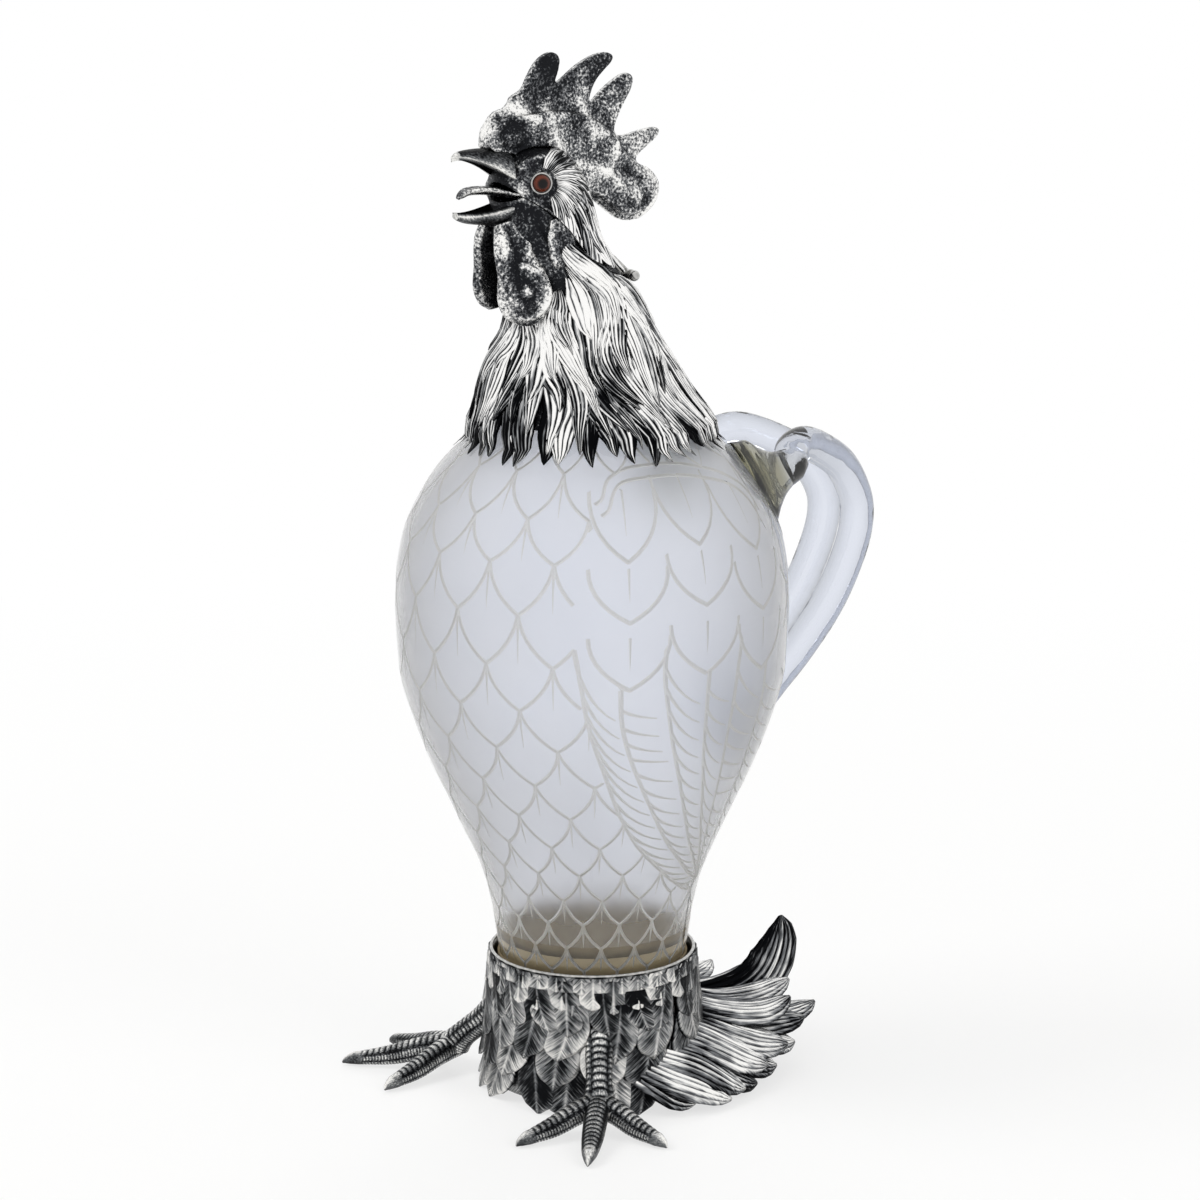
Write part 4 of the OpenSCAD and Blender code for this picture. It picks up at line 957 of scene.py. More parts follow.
# Root, bend and tip of each plume (sideways, back, up, as shares) and its width
tail_shares = [
    ((0.66, -0.08, 0.32), (0.84, 0.02, 0.22), (0.95, 0.14, 0.05), 0.8),
    ((0.62, -0.06, 0.38), (0.86, 0.12, 0.28), (1.03, 0.28, 0.05), 1),
    ((0.56, 0.08, 0.4), (0.82, 0.26, 0.28), (0.9, 0.456, 0.07), 1),
    ((0.46, 0.2, 0.44), (0.7, 0.4, 0.3), (0.78, 0.6, 0.12), 1),
    ((0.34, 0.27, 0.48), (0.54, 0.52, 0.3), (0.62, 0.755, 0.2), 1),
    ((0.2, 0.3, 0.5), (0.34, 0.64, 0.26), (0.4, 0.945, 0.39), 0.9),
    ((0.32, 0.28, 0.62), (0.44, 0.56, 0.36), (0.5, 0.78, 0.51), 0.9),
    ((0.1, 0.3, 0.64), (0.16, 0.64, 0.34), (0.24, 0.88, 0.54), 0.9),
    ((0.6, 0.02, 0.44), (0.84, 0.2, 0.32), (0.97, 0.37, 0.08), 0.9),
    ((0.5, 0.15, 0.5), (0.74, 0.36, 0.38), (0.85, 0.53, 0.17), 0.95),
    ((0.4, 0.25, 0.52), (0.62, 0.46, 0.36), (0.72, 0.68, 0.24), 0.95),
    ((0.28, 0.3, 0.55), (0.46, 0.55, 0.32), (0.53, 0.84, 0.34), 0.9)]
# Width of a plume along its length, as shares; a plume is drawn a little broader than it was
# planned, so that the fan stays closed
plume_widths = np.array([(0, 0.6), (0.2, 0.85), (0.45, 1), (0.7, 0.95), (0.85, 0.74), (0.94, 0.45),
                         (1, 0.08)])
plume_broader = 1.12


def plume(row, side_way, start, face=(0, 0, 1), roll=0, rows=30, strands=8, thick=2.4, tone=0,
          hollow=0.14):
    """A broad plume along root, bend and tip, with its strands fanning to a round end. Its
    strands stand on the side it faces, and roll tips its outer edge down."""
    cols = 6 * strands + 1
    root, bend, tip = (np.array([p[0] * tail_w, p[1] * tail_l, p[2] * tail_h]) for p in row[:3])
    v = np.linspace(0, 1, rows)[:, None]
    centre = root * (1 - v) ** 2 + 2 * bend * v * (1 - v) + tip * v ** 2
    along = unit(np.gradient(centre, axis=0))
    across = unit(side_way - (along @ side_way)[:, None] * along)
    over = np.cross(across, along)
    over *= np.sign((over @ np.array(face)).mean())
    cosine, sine = math.cos(roll), math.sin(roll)
    across, over = across * cosine - over * sine, over * cosine + across * sine
    s = np.linspace(-1, 1, cols)
    half = np.interp(v[:, 0], plume_widths[:, 0], plume_widths[:, 1])
    half = half * row[3] * plume_half_w * plume_broader
    cup = -hollow * half[:, None] * s[None] ** 2
    sway = 0.12 * half * np.sin(5.5 * v[:, 0] + 3 * start)
    aside = s[None] * half[:, None] + sway[:, None]
    base = centre[:, None] + across[:, None] * aside[:, :, None] + over[:, None] * cup[:, :, None]
    normal = np.repeat(over[:, None], cols, 1)
    thickness = thick * np.interp(v[:, 0], [0, 0.5, 0.9, 1], [1, 1, 0.7, 0.3])
    base[:, :, 2] = np.maximum(base[:, :, 2], floor_clear)
    return blade(base, normal, np.zeros(rows), thickness, strands, start, tone)


# Along a plume the strokes run long and soft, from black roots through greys to bright crests
plume_silver = silver("brushed_sterling_silver", ("#0e0f11", "#808285", "#f8f7f4"), (0, 0.4, 0.88),
                      (1.9, 1.1), (0.45, 12, 1))
parts = []
for side in (1, -1):
    for row in tail_shares:
        bearing = unit(np.array([1, -row[0][0], 0]))
        shade = rng.uniform(-0.28, 0.08) \
            + 0.25 * np.sin(np.linspace(0, 5, 30) + rng.uniform(0, 6))
        # The plumes on the floor tip their outer edges down further than those above
        roll = math.radians(20 if row[2][2] < 0.35 else 8)
        part = plume(row, bearing, rng.uniform(0, 9), roll=roll, tone=shade)
        part[0] = part[0] * (side, 1, 1)
        parts.append(part)
tail = make_piece("tail_plumes", parts, [plume_silver])
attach(tail, "jug")
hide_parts("tail_fan")
# The sickle is two plumes back to back, dark along its edges. Along its length it is painted
# dark towards both ends, with a painted highlight two thirds of the way up
sickle_row, sickle_rows = ((0, 0.42, 0.45), (0.04, 0.955, 0.29), (0.1, 0.89, 1), 1.05), 34
# Painted light along the sickle: dark towards root and tip, a painted highlight between
shade = np.interp(np.linspace(0, 1, sickle_rows), [0, 0.45, 0.65, 0.85, 1],
                  [-0.6, -0.5, -0.05, -0.5, -0.65])
halves = [plume(sickle_row, unit(np.array([0, -1, 1.0])), 3.3, face=(way, 0, 0), rows=sickle_rows,
                thick=1.9, tone=shade, hollow=0) for way in (1, -1)]
sickle = make_piece("tail_sickle_plume", halves, [plume_silver])
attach(sickle, "jug")
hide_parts("tail_sickle")

# The feet: cast silver legs soldered under the skirt, each with three toes. Broad scutes run down
# the front of the shank and along each toe, small scales beside them, and the claws are smooth.


def scaly_tube(stations, side, pitch, plain_from, columns, start, depth=0.4, sides=40):
    """A tube with rows of scales. columns are [from, to, pitch share, offset] round its ring."""
    stations = np.array(stations, float)
    along = distance_along(stations[:, :3])
    ring_step = 0.34
    spots = np.linspace(0, along[-1], int(along[-1] / ring_step))
    course = np.stack([np.interp(spots, along, stations[:, k]) for k in range(5)], 1)
    rings = oval_rings(course, side, sides)
    angle = np.arange(sides) * 360 / sides
    bump = np.zeros((len(spots), sides))
    for low, high, share, offset in columns:
        across = ((angle - low) % 360) / (high - low)
        held = across < 1
        w = 2 * across - 1
        f = (spots[:, None] / (pitch * share) + offset - 0.35 * w ** 2) % 1
        scale = (1 - np.abs(2 * f - 1) ** 3) * (0.55 + 0.45 * f) * (1 - np.abs(w) ** 4)
        bump = np.where(held[None], scale, bump)
    fade = np.clip((plain_from * along[-1] - spots) / 1.5, 0, 1)[:, None]
    out = unit(rings - course[:, None, :3])
    rings = rings + out * (depth * (bump - 0.5) * fade)[:, :, None]
    # The smooth claws are painted lighter on top and darker underneath: painted light from above
    claw = 0.45 + 0.5 * np.clip(np.sin(np.radians(angle)), -0.8, 1)[None] ** 3
    relief = bump * fade + claw * (1 - fade)
    lay = np.stack([np.tile(angle / 12, (len(spots), 1)),
                    np.repeat(spots[:, None], sides, 1)], 2) + start
    return skin(rings, relief, lay)


toe_l, toe_half_w, shank_r, shank_z = 39, 4.6, 4.9, 28
# Reach of a toe's stations as a share of its length; their height, half width and half
# thickness as shares of the half width at its root
toe_shares = smooth([(0, 2, 1, 1), (0.28, 1.6, 0.9, 0.9), (0.55, 1, 0.82, 0.78),
                     (0.8, 0.68, 0.62, 0.56), (0.88, 0.61, 0.5, 0.52), (0.96, 0.41, 0.28, 0.32),
                     (1, 0.2, 0.06, 0.08)], 5)
# Columns of scales: from and to round the ring in degrees, where 90 is on top or in front, then
# length of a scale and offset as shares of the pitch
toe_columns = [(30, 150, 1, 0), (150, 196, 0.5, 0.3), (196, 238, 0.5, 0.8), (238, 302, 0.5, 0.3),
               (302, 344, 0.5, 0.8), (344, 390, 0.5, 0.3)]
shank_columns = [(50, 130, 1, 0), (130, 172, 0.8, 0.5), (172, 221, 0.5, 0.3), (221, 270, 0.5, 0.8),
                 (270, 319, 0.5, 0.3), (319, 368, 0.5, 0.8), (368, 410, 0.8, 0.5)]
shank_pitch, toe_pitch, claw_from = 2.6, 2.3, 0.83
scaled_silver = silver("scaled_sterling_silver", ("#131416", "#6d6f71", "#f8f7f3"),
                       (0.25, 0.62, 0.98), (1.5, 0.7), (0.5, 1, 1), grip=0.4)


def leg(side, middle, bearing, toes):
    """A shank from the foot's edge down to its three toes; side is 1 for the bird's left."""
    b = math.radians(bearing)
    top = np.array([0.93 * collar_r * math.sin(b), -0.93 * collar_r * math.cos(b), shank_z])
    knee = np.array([middle[0], -middle[1], 2 * toe_half_w])
    course = [list(top + 0.1 * (top - knee)) + [1.25 * shank_r] * 2,
              list(top + 0.3 * (knee - top)) + [shank_r] * 2,
              list(top + 0.75 * (knee - top) + (0, 0, 0.2 * shank_r)) + [0.95 * shank_r] * 2,
              list(knee) + [1.1 * shank_r] * 2,
              list(knee - (0, 0, 0.8 * shank_r)) + [0.6 * shank_r] * 2]
    parts = [scaly_tube(smooth(course, 6), (math.cos(b), math.sin(b), 0), shank_pitch, 1.2,
                        shank_columns, 0, 0.5)]
    for heading, length in toes:
        h = math.radians(heading)
        stations = [[middle[0] + toe_l * length * s[0] * math.sin(h),
                     -middle[1] - toe_l * length * s[0] * math.cos(h), toe_half_w * s[1],
                     toe_half_w * s[2], toe_half_w * s[3]] for s in toe_shares]
        parts.append(scaly_tube(stations, (math.cos(h), math.sin(h), 0), toe_pitch, claw_from,
                                toe_columns, heading))
    for part in parts:
        part[0] = part[0] * (side, 1, 1)
        part[0][:, 2] = np.maximum(part[0][:, 2], 0)
    return parts


# Heading of each toe outward from ahead, and its length as a share of a middle toe
for name, side, middle, bearing, toes in (
        ("left", 1, (43.5, 25.5), 61, [(51, 0.97), (1, 0.88), (105, 0.8)]),
        ("right", -1, (36, 36.5), 30, [(38, 1.07), (-13, 0.9), (79, 0.94)])):
    foot = make_piece("scaled_foot_" + name, leg(side, middle, bearing, toes), [scaled_silver])
    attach(foot, "jug")
    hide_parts(name + "_foot")

# The mane: one cast silver shell over the neck of the glass, chased into tiers of long
# pointed hackles. Their tips hang free over the shoulder, and the seam cuts it on top.
rim_z = glass_lift + glass_h * 0.919
rim_r = float(glass_radius(rim_z))
mane_h, head_h, head_r, lean, skin_t = 52, 46, 19.5, 24, 1.8
throat_z = rim_z + mane_h
# Height, forward shift and flare of the mane, as shares of its height, lean and rim
mane_shares = [(0, 0, 1.167), (0.115, 0.05, 0.985), (0.23, 0.125, 0.81), (0.44, 0.215, 0.57),
               (0.635, 0.235, 0.28), (0.865, 0.33, 0.126), (1, 0.46, 0.05)]
# Height, forward shift, radius and side-to-side narrowing of the head
head_shares = [(0.217, 0.75, 1, 0.97), (0.39, 0.86, 0.95, 0.94), (0.565, 0.9, 0.9, 0.91),
               (0.74, 0.96, 0.83, 0.9), (0.87, 0.99, 0.66, 0.9), (0.957, 1, 0.42, 0.9),
               (1, 1, 0.04, 0.9)]
neck_levels = smooth([(rim_z + a * mane_h, b * lean, head_r + (rim_r - head_r) * c, 1)
                      for a, b, c in mane_shares]
                     + [(throat_z + a * head_h, b * lean, c * head_r, d)
                        for a, b, c, d in head_shares], 4)
crown_z = throat_z + head_h


def neck_level(z):
    return [np.interp(z, neck_levels[:, 0], neck_levels[:, k]) for k in (1, 2, 3)]


def on_neck(turn, z, lift):
    """Points of the neck and head: turn is 0 at the breast and grows to the bird's left."""
    ahead, r, narrow = neck_level(z)
    ahead2, r2, _ = neck_level(np.minimum(z + 0.5, crown_z))
    r = np.where(z < rim_z, np.maximum(r, glass_radius(z) + 0.5), r)
    slope = -((r2 - r) + (ahead2 - ahead) * np.cos(turn)) / 0.5
    rise = np.where(z < rim_z, -0.6, np.clip(slope, -4, 9))
    out = unit(np.stack([np.sin(turn) / narrow, -np.cos(turn), rise + 0 * turn], -1))
    place = np.stack([narrow * r * np.sin(turn), -ahead - r * np.cos(turn), z + 0 * turn], -1)
    return place + out * np.expand_dims(lift + 0 * turn, -1), out


def turn_at(points):
    """Where points beside the neck lie round it."""
    ahead, _, narrow = neck_level(points[..., 2])
    return np.arctan2(points[..., 0] / narrow, -points[..., 1] - ahead)


def head_at(shares):
    return lean + shares[0] * head_r, throat_z + shares[1] * head_h


knuckle_r = 2
hinge_ahead = 0.46 * lean - (head_r + (rim_r - head_r) * 0.05) - knuckle_r
hinge_z = throat_z
mouth_corner = head_at((0.54, 0.64))
# The seam from the hinge to the corner of the mouth, as shares of that distance
seam_shares = [(0, 0), (0.145, 0.043), (0.33, 0.137), (0.477, 0.227), (0.579, 0.33),
               (0.657, 0.517), (0.724, 0.64), (0.824, 0.8), (0.913, 0.91), (1, 1)]
seam_line = smooth([(hinge_ahead + a * (mouth_corner[0] - hinge_ahead),
                     hinge_z - 0.3 * knuckle_r + b * (mouth_corner[1] - hinge_z + 0.3 * knuckle_r))
                    for a, b in seam_shares], 3).tolist()
jaw_line, brow_line = (np.array(seam_line + [head_at(p) for p in ahead_of_it]) for ahead_of_it in (
    ((0.62, 0.622), (0.82, 0.587), (1.13, 0.517)), ((0.79, 0.737), (1.07, 0.846))))
seam_gap = 0.5


def cut_height(turn, line, gap):
    """Height at which a side-view line crosses the neck at each turn."""
    low, high = np.full(np.shape(turn), rim_z), np.full(np.shape(turn), crown_z)
    for _ in range(30):
        z = (low + high) / 2
        ahead, r, _ = neck_level(z)
        under = z < np.interp(ahead + r * np.cos(turn), line[:, 0], line[:, 1])
        low, high = np.where(under, z, low), np.where(under, high, z)
    return low + gap


def fold_lift(places, folds):
    """How far folds drawn in side view lift each place: a fold is a line of [ahead, height],
    its half width and its lift in mm."""
    lift = np.zeros(places.shape[:-1])
    for line, half_width, height in folds:
        line = smooth(line, 5)
        seen = np.stack([-places[..., 1], places[..., 2]], -1)
        away = np.full(lift.shape, 99.0)
        for a, b in zip(line[:-1], line[1:]):
            t = np.clip((seen - a) @ (b - a) / ((b - a) @ (b - a)), 0, 1)
            away = np.minimum(away, np.linalg.norm(seen - a - t[..., None] * (b - a), axis=-1))
        lift += height * np.exp(-(away / half_width) ** 2)
    return lift


def neck_shell(low, high, rows, thick, sink, sides=180):
    """A closed wall of silver round the neck between two edges given for each turn. The folds
    of the bare face stand on it, and its skin is dark between them."""
    turn = np.linspace(-math.pi, math.pi, sides, endpoint=False)
    z = low(turn)[None] + (high(turn) - low(turn))[None] * np.linspace(0, 1, rows)[:, None]
    turn = np.tile(turn, (rows, 1))
    outer, out = on_neck(turn, z, -sink)
    inner, _ = on_neck(turn, z, -thick)
    if low(turn[0]).min() < lip_z:
        outer, inner = off_glass(outer, 0.9), off_glass(inner, 0.3)
    lift = fold_lift(outer, face_folds) * np.clip(np.abs(out[..., 0]) * 2 - 0.5, 0, 1)
    outer = outer + out * lift[..., None]
    rings = np.concatenate([outer, inner[::-1], outer[:1]])
    relief = 0.2 + 0.3 * lift
    relief = np.concatenate([relief, 0 * lift, relief[:1]])
    return [rings.reshape(-1, 3), ring_faces(2 * rows, sides, 2 * rows + 1),
            np.zeros((rings.shape[0] * sides, 2)), relief.ravel()]


# Folds of the face: the rims of the mouth and cheek, the brow, and wrinkles round the eye
face_folds = [([(37, 322), (35.8, 321.5), (29.3, 318), (25, 315.1), (21, 311)], 0.9, 1),
              ([(37.5, 310.2), (35, 305), (31.8, 298.6)], 1.2, 1.1),
              ([(40, 314), (38.5, 303)], 1.4, -0.8),
              ([(34, 331), (30, 333.5), (23.1, 334.3), (14.1, 331.8)], 1.1, 1.1),
              ([(34.5, 326), (32, 321.5), (27.5, 320), (23.5, 322.5)], 0.7, 0.7),
              ([(37, 328), (34.5, 322.8)], 0.8, 0.8), ([(32, 317), (28, 308)], 1.1, -0.7),
              ([(23, 314), (21, 318), (20, 323)], 0.8, 0.7), ([(30, 295), (27, 288)], 1, 0.7),
              ([(34.8, 323), (39.4, 327.3), (44.9, 332.3)], 0.9, 1.2),
              ([(35, 321), (40, 318.8), (46, 315.6)], 0.9, 1)]
# Rows of points along a hackle, and the least height to which one may hang on the glass
hackle_steps, hackle_low = 18, 226


def hackle(course, half_width, thick, lift, strands, start, edge, point=0.5, tone=0):
    """A pointed feather along a course of [turn in degrees, height] laid on the neck. It stays
    clear of the edge, a side-view line and a gap that is negative below the line."""
    course = smooth(course, 12)
    share = np.linspace(0, 1, len(course))
    v = np.linspace(0, 1, hackle_steps)
    turn = np.radians(np.interp(v, share, course[:, 0]))
    z = np.interp(v, share, course[:, 1])
    centre, out = on_neck(turn, z, 0)
    across = unit(np.cross(out, unit(np.gradient(centre, axis=0))))
    taper = np.cos(np.maximum(0, v - point) / (1 - point) * math.pi / 2) ** 0.85
    half = half_width * np.minimum(1, 0.3 + 2.4 * v) * np.where(v > point,
                                                                np.maximum(0.05, taper), 1)
    s = np.linspace(-1, 1, 4 * strands + 1)
    flat = centre[:, None] + across[:, None] * (s[None] * half[:, None])[:, :, None]
    here_z = np.clip(flat[:, :, 2], hackle_low, crown_z)
    here_turn = turn_at(np.concatenate([flat[:, :, :2], here_z[:, :, None]], 2))
    line, gap = edge
    limit = cut_height(here_turn, line, gap)
    here_z = np.minimum(here_z, limit) if gap < 0 else np.maximum(here_z, limit)
    base, out = on_neck(here_turn, here_z, 0)
    base = off_glass(base, 0.4)
    rise = lift[0] + (lift[1] - lift[0]) * v - 1.2 * np.exp(-v / 0.07)
    return blade(base, out, rise, thick * np.interp(v, [0, 0.2, 0.9, 1], [0.8, 1, 0.9, 0.5]),
                 strands, start, tone)


# The pebble is cast in, about half a millimetre from grain to grain
pebbled_silver = silver("pebbled_sterling_silver", ("#222326", "#696b6e", "#fcfbf8"),
                        (0.24, 0.49, 0.8), (2, 1.1), (0.9, 0.9, 0.9), grip=1, lie="grain")

parts = [neck_shell(lambda t: 0 * t + rim_z + 4, lambda t: cut_height(t, jaw_line, -seam_gap / 2),
                    rows=60, thick=skin_t, sink=0.4)]
# The hackles end so far below the seam
mane_edge = (jaw_line, -0.6)
# The bare face ends where hackles may begin: bearing from the breast, and their greatest height
face_edge = np.array([(0, 279), (30, 281), (45, 287), (58, 292), (74, 299), (86, 307), (96, 316),
                      (110, 332)])
# Tiers of hackles: count, root and tip height, half width, lift at root and tip. One that would
# come out shorter than the least is left out
hackle_t, least_hackle = 1.4, 15
tiers = [(42, 262, 235, 4.4, (0.2, 0.9)), (34, 274, 240, 4.4, (0.3, 1.4)),
         (28, 289, 246, 4.5, (0.3, 1.7)), (24, 300, 254, 4.5, (0.3, 1.8)),
         (20, 311, 264, 4.4, (0.3, 1.8)), (17, 318, 276, 4.1, (0.2, 1.7)),
         (15, 322, 288, 3.6, (0.1, 1.4)), (13, 324, 300, 3, (0.1, 1))]
for tier, (count, root_z, tip_z, half_width, lift) in enumerate(tiers):
    for k in range(count):
        turn = 360 / count * (k + 0.5 * (tier % 2)) - 180 + rng.uniform(-3, 3)
        drop = rng.uniform(-5, 4) if tier else rng.uniform(-2.2, 2)
        limit = float(cut_height(np.radians(np.array([turn])), *mane_edge)[0])
        top = min(root_z, limit, np.interp(abs(turn), face_edge[:, 0], face_edge[:, 1]))
        if top - tip_z - drop < least_hackle:
            continue
        # Neighbours swing together to and fro on their way down, and part towards the back
        course = []
        for share in np.linspace(0, 1, 6):
            z = top + (tip_z + drop - top) * share
            swing = 6.5 * math.sin(math.radians(3.2 * turn + 35) + z / 8.5) \
                + 3 * math.sin(math.radians(8 * turn) - z / 6)
            swing *= 1 - 0.6 * share * (tier < 2)
            parted = math.copysign(9, turn) * abs(math.sin(math.radians(turn))) * (share - 0.5)
            course.append((turn + swing + parted + rng.uniform(-1.2, 1.2), z))
        # The tips of the lowest tiers are painted darker: painted shade towards the hem, under the
        # locks above
        fall = np.linspace(0, 1, hackle_steps)
        tone = rng.uniform(-0.3, 0.3) + np.interp(abs(turn), [15, 60, 100], [-0.08, 0.04, 0.03]) \
            - (0.4 * fall if tier == 0 else 0.25 * fall ** 2 * (tier < 4))
        parts.append(hackle(course, half_width * rng.uniform(0.75, 1.2), hackle_t, lift,
                            int(rng.integers(4, 7)), rng.uniform(0, 9), mane_edge,
                            point=0.6 if tier == 0 else 0.45, tone=tone))
bare_or_feathered = [1] * len(parts[0][1]) + [0] * sum(len(p[1]) for p in parts[1:])
mane = make_piece("hackle_mane", parts, [chased_silver, pebbled_silver], bare_or_feathered)
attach(mane, "jug")
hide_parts("neck_mane")

# The lower beak: a cast spout soldered into the face. Its grey outside is partly painted
# reflection, its edges and tip are bright, partly rubbed and partly painted highlight, and
# its channel is left dark.
beak_l, beak_half_w, beak_half_h = 10.8, 8, 7.5
face_share, tip_share = 1.08, 1.62


def beak_stations(shares, steps=6):
    """Stations along the middle of the head; the tip lies one beak length ahead of the face."""
    stretch = beak_l / head_r / (tip_share - face_share)
    rows = []
    for ahead, height, wide, high in shares:
        f, z = head_at((face_share + (ahead - face_share) * stretch, height))
        rows.append((0, -f, z, wide * beak_half_w, high * beak_half_h))
    return smooth(rows, steps)


def beak_half(outer, inner, start_turn, end_turn, flare, steps=30):
    """A beak whose rings run round the outside and back along the hollow of the mouth."""
    angle = np.radians(np.linspace(start_turn, end_turn, steps))
    rings = []
    for (x, y, z, w, h), (_, _, z2, w2, h2) in zip(outer, inner):
        lips = 1 + flare * np.exp(-(np.minimum(angle - angle[0], angle[-1] - angle) / 0.3) ** 2)
        out = np.stack([w * lips * np.cos(angle), 0 * angle + y, z + h * np.sin(angle)], 1)
        back = np.stack([w2 * np.cos(angle[::-1]), 0 * angle + y, z2 + h2 * np.sin(angle[::-1])], 1)
        rings.append(np.concatenate([out, back]))
    return np.array(rings)


def beak_relief(rings, outside, rub, power, hollow, tip_rings, tip):
    """Relief of a beak: so high outside with a rub towards its edges, a hollow, and its tip. The
    rub and the bright tip are partly painted highlight.
    """
    half = rings.shape[1] // 2
    rubbed = outside + rub * np.abs(np.linspace(-1, 1, half)) ** power
    relief = np.tile(np.concatenate([rubbed, np.full(half, hollow)]), (len(rings), 1))
    relief[-tip_rings:] = tip
    return relief


lower_outer = beak_stations([(0.51, 0.548, 1, 0.61), (0.82, 0.513, 0.92, 0.51),
                             (1.13, 0.491, 0.72, 0.36), (1.38, 0.487, 0.45, 0.24),
                             (1.54, 0.496, 0.2, 0.13), (1.6, 0.502, 0.05, 0.05)])
lower_inner = lower_outer * (1, 1, 1, 0.8, 0.55) + (0, 0, 1.3, 0, 0)
rings = beak_half(lower_outer, lower_inner, start_turn=160, end_turn=380, flare=0.1)
relief = beak_relief(rings, outside=0.35, rub=0.6, power=5, hollow=0.1, tip_rings=6, tip=0.8)
lower_beak = make_piece("lower_beak_spout", [skin(rings, relief)], [scaled_silver])
sharpen(lower_beak, 60)
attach(lower_beak, "jug")
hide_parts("lower_beak")

# The wattles and ear lobes: cast in silver with a pebbled skin, modelled as fleshy
# folds whose rims are rubbed bright over dark hollows.


def fold(stations, side, hollow, sides=72, folds=()):
    """A flat fleshy lobe: a raised rim round a hollow whose depth is given along it, and folds
    on its outer side."""
    stations = np.array(stations, float)
    rings = oval_rings(stations, side, sides)
    angle = np.linspace(0, 2 * math.pi, sides, endpoint=False)
    w = np.abs(np.cos(angle))[None]
    u = np.linspace(0, 1, len(stations))[:, None]
    depth = np.interp(u, [p[0] for p in hollow], [p[1] for p in hollow])
    middle = np.interp(u, [p[0] for p in hollow], [p[2] for p in hollow])
    dip = depth * np.exp(-((np.cos(angle)[None] - middle) / 0.55) ** 2)
    lift = 0.35 * np.exp(-((w - 0.86) / 0.13) ** 2) - dip + 0 * u
    out = unit(rings - stations[:, None, :3])
    lift = lift + fold_lift(rings, folds) * np.clip(out[..., 0] * 3, 0, 1)
    rings = rings + out * lift[:, :, None]
    lay = np.stack([np.tile(angle * 6, (len(stations), 1)), np.repeat(u * 34, sides, 1)], 2)
    return skin(rings, 0.48 + 0.4 * lift, lay)


# Folds of a wattle: a long rim in front, a rim that crosses to the back edge and runs round
# the bottom, and a curl in the middle of the loop
wattle_folds = [([(42.5, 312), (41, 304), (41.6, 294.6), (42.7, 285.3)], 0.9, 1.1),
                ([(38.6, 311), (37.6, 303), (38.4, 294)], 1.2, -0.9),
                ([(36.6, 298.7), (32, 297), (28.3, 296.7), (27.6, 290), (30, 283.5), (35, 280.3),
                  (40, 282)], 1, 0.9),
                ([(35, 293.5), (32, 290.5), (34.5, 286.5), (38, 288.5), (37.5, 292.5),
                  (35, 293.5)], 1, -0.9),
                ([(35.4, 290.5), (34.6, 289.4)], 0.8, 0.9), ([(33, 309), (34, 302)], 1, 0.8)]
# Course of a wattle: sideways, ahead and down, then half width and half thickness
wattle_shares = [(0.28, 0.75, 0.02, 0.4, 0.6), (0.42, 0.69, 0.24, 0.7, 0.8),
                 (0.52, 0.6, 0.48, 0.84, 0.9), (0.57, 0.54, 0.72, 1, 1), (0.56, 0.5, 0.9, 0.8, 0.8),
                 (0.54, 0.48, 1, 0.25, 0.3)]
wattle_half_w, wattle_half_t = 9, 3.4
# Along a wattle: how deep its hollow is, and how far off its middle
wattle_hollow = [(0, 0, 0), (0.3, 0.2, 0.2), (0.45, 0.5, 0.1), (0.6, 0.1, -0.1), (0.8, 0.5, -0.1),
                 (0.92, 0.3, -0.2), (1, 0, 0)]
for name, side, length in (("left", 1, 35), ("right", -1, 31.5)):
    top_z = head_at((0, 0.46))[1]
    stations = smooth([(a * head_r, -lean - b * head_r, top_z - c * length, d * wattle_half_w,
                        e * wattle_half_t) for a, b, c, d, e in wattle_shares], 14)
    part = fold(stations, (-0.45, -0.9, 0), wattle_hollow, folds=wattle_folds)
    part[0] = part[0] * (side, 1, 1)
    wattle = make_piece("pebbled_wattle_" + name, [part], [pebbled_silver])
    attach(wattle, "jug")
    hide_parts("wattle_" + name)
# An ear lobe in the same terms, its sizes as shares of its length
lobe_shares = [(0.83, 0.08, 0, 0.1, 0.06), (0.87, 0.02, 0.25, 0.267, 0.1),
               (0.9, -0.03, 0.55, 0.31, 0.12), (0.88, 0, 0.85, 0.22, 0.1),
               (0.84, 0.02, 1, 0.06, 0.05)]
lobe_l, lobe_hollow = 16.5, [(0, 0, 0), (0.3, 0.5, 0.1), (0.7, 0.5, 0), (1, 0, 0)]
for name, side in (("left", 1), ("right", -1)):
    top_z = head_at((0, 0.48))[1]
    stations = smooth([(a * head_r, -lean - b * head_r, top_z - c * lobe_l, d * lobe_l, e * lobe_l)
                       for a, b, c, d, e in lobe_shares], 8)
    part = fold(stations, (0, -1, 0), lobe_hollow)
    part[0] = part[0] * (side, 1, 1)
    lobe = make_piece("pebbled_ear_lobe_" + name, [part], [pebbled_silver])
    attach(lobe, "jug")
    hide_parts("ear_lobe_" + name)

# The hinge: turned silver knuckles on the nape, with a drawn pin through them that
# ends in a ball at each side. It is kept polished.
for name in ("hinge_neck_knuckles", "hinge_lid_knuckles", "hinge_pin"):
    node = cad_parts[name]
    node.data.materials.clear()
    node.data.materials.append(polished_silver)

# The lid of the head: cast silver above the seam, chased into small feathers that
# sweep back round the eye and down to the nape.
parts = [neck_shell(lambda t: cut_height(t, brow_line, seam_gap / 2), lambda t: 0 * t + crown_z,
                    rows=70, thick=skin_t, sink=0.2)]
# The small feathers end so far above the seam
lid_edge = (brow_line, 0.6)
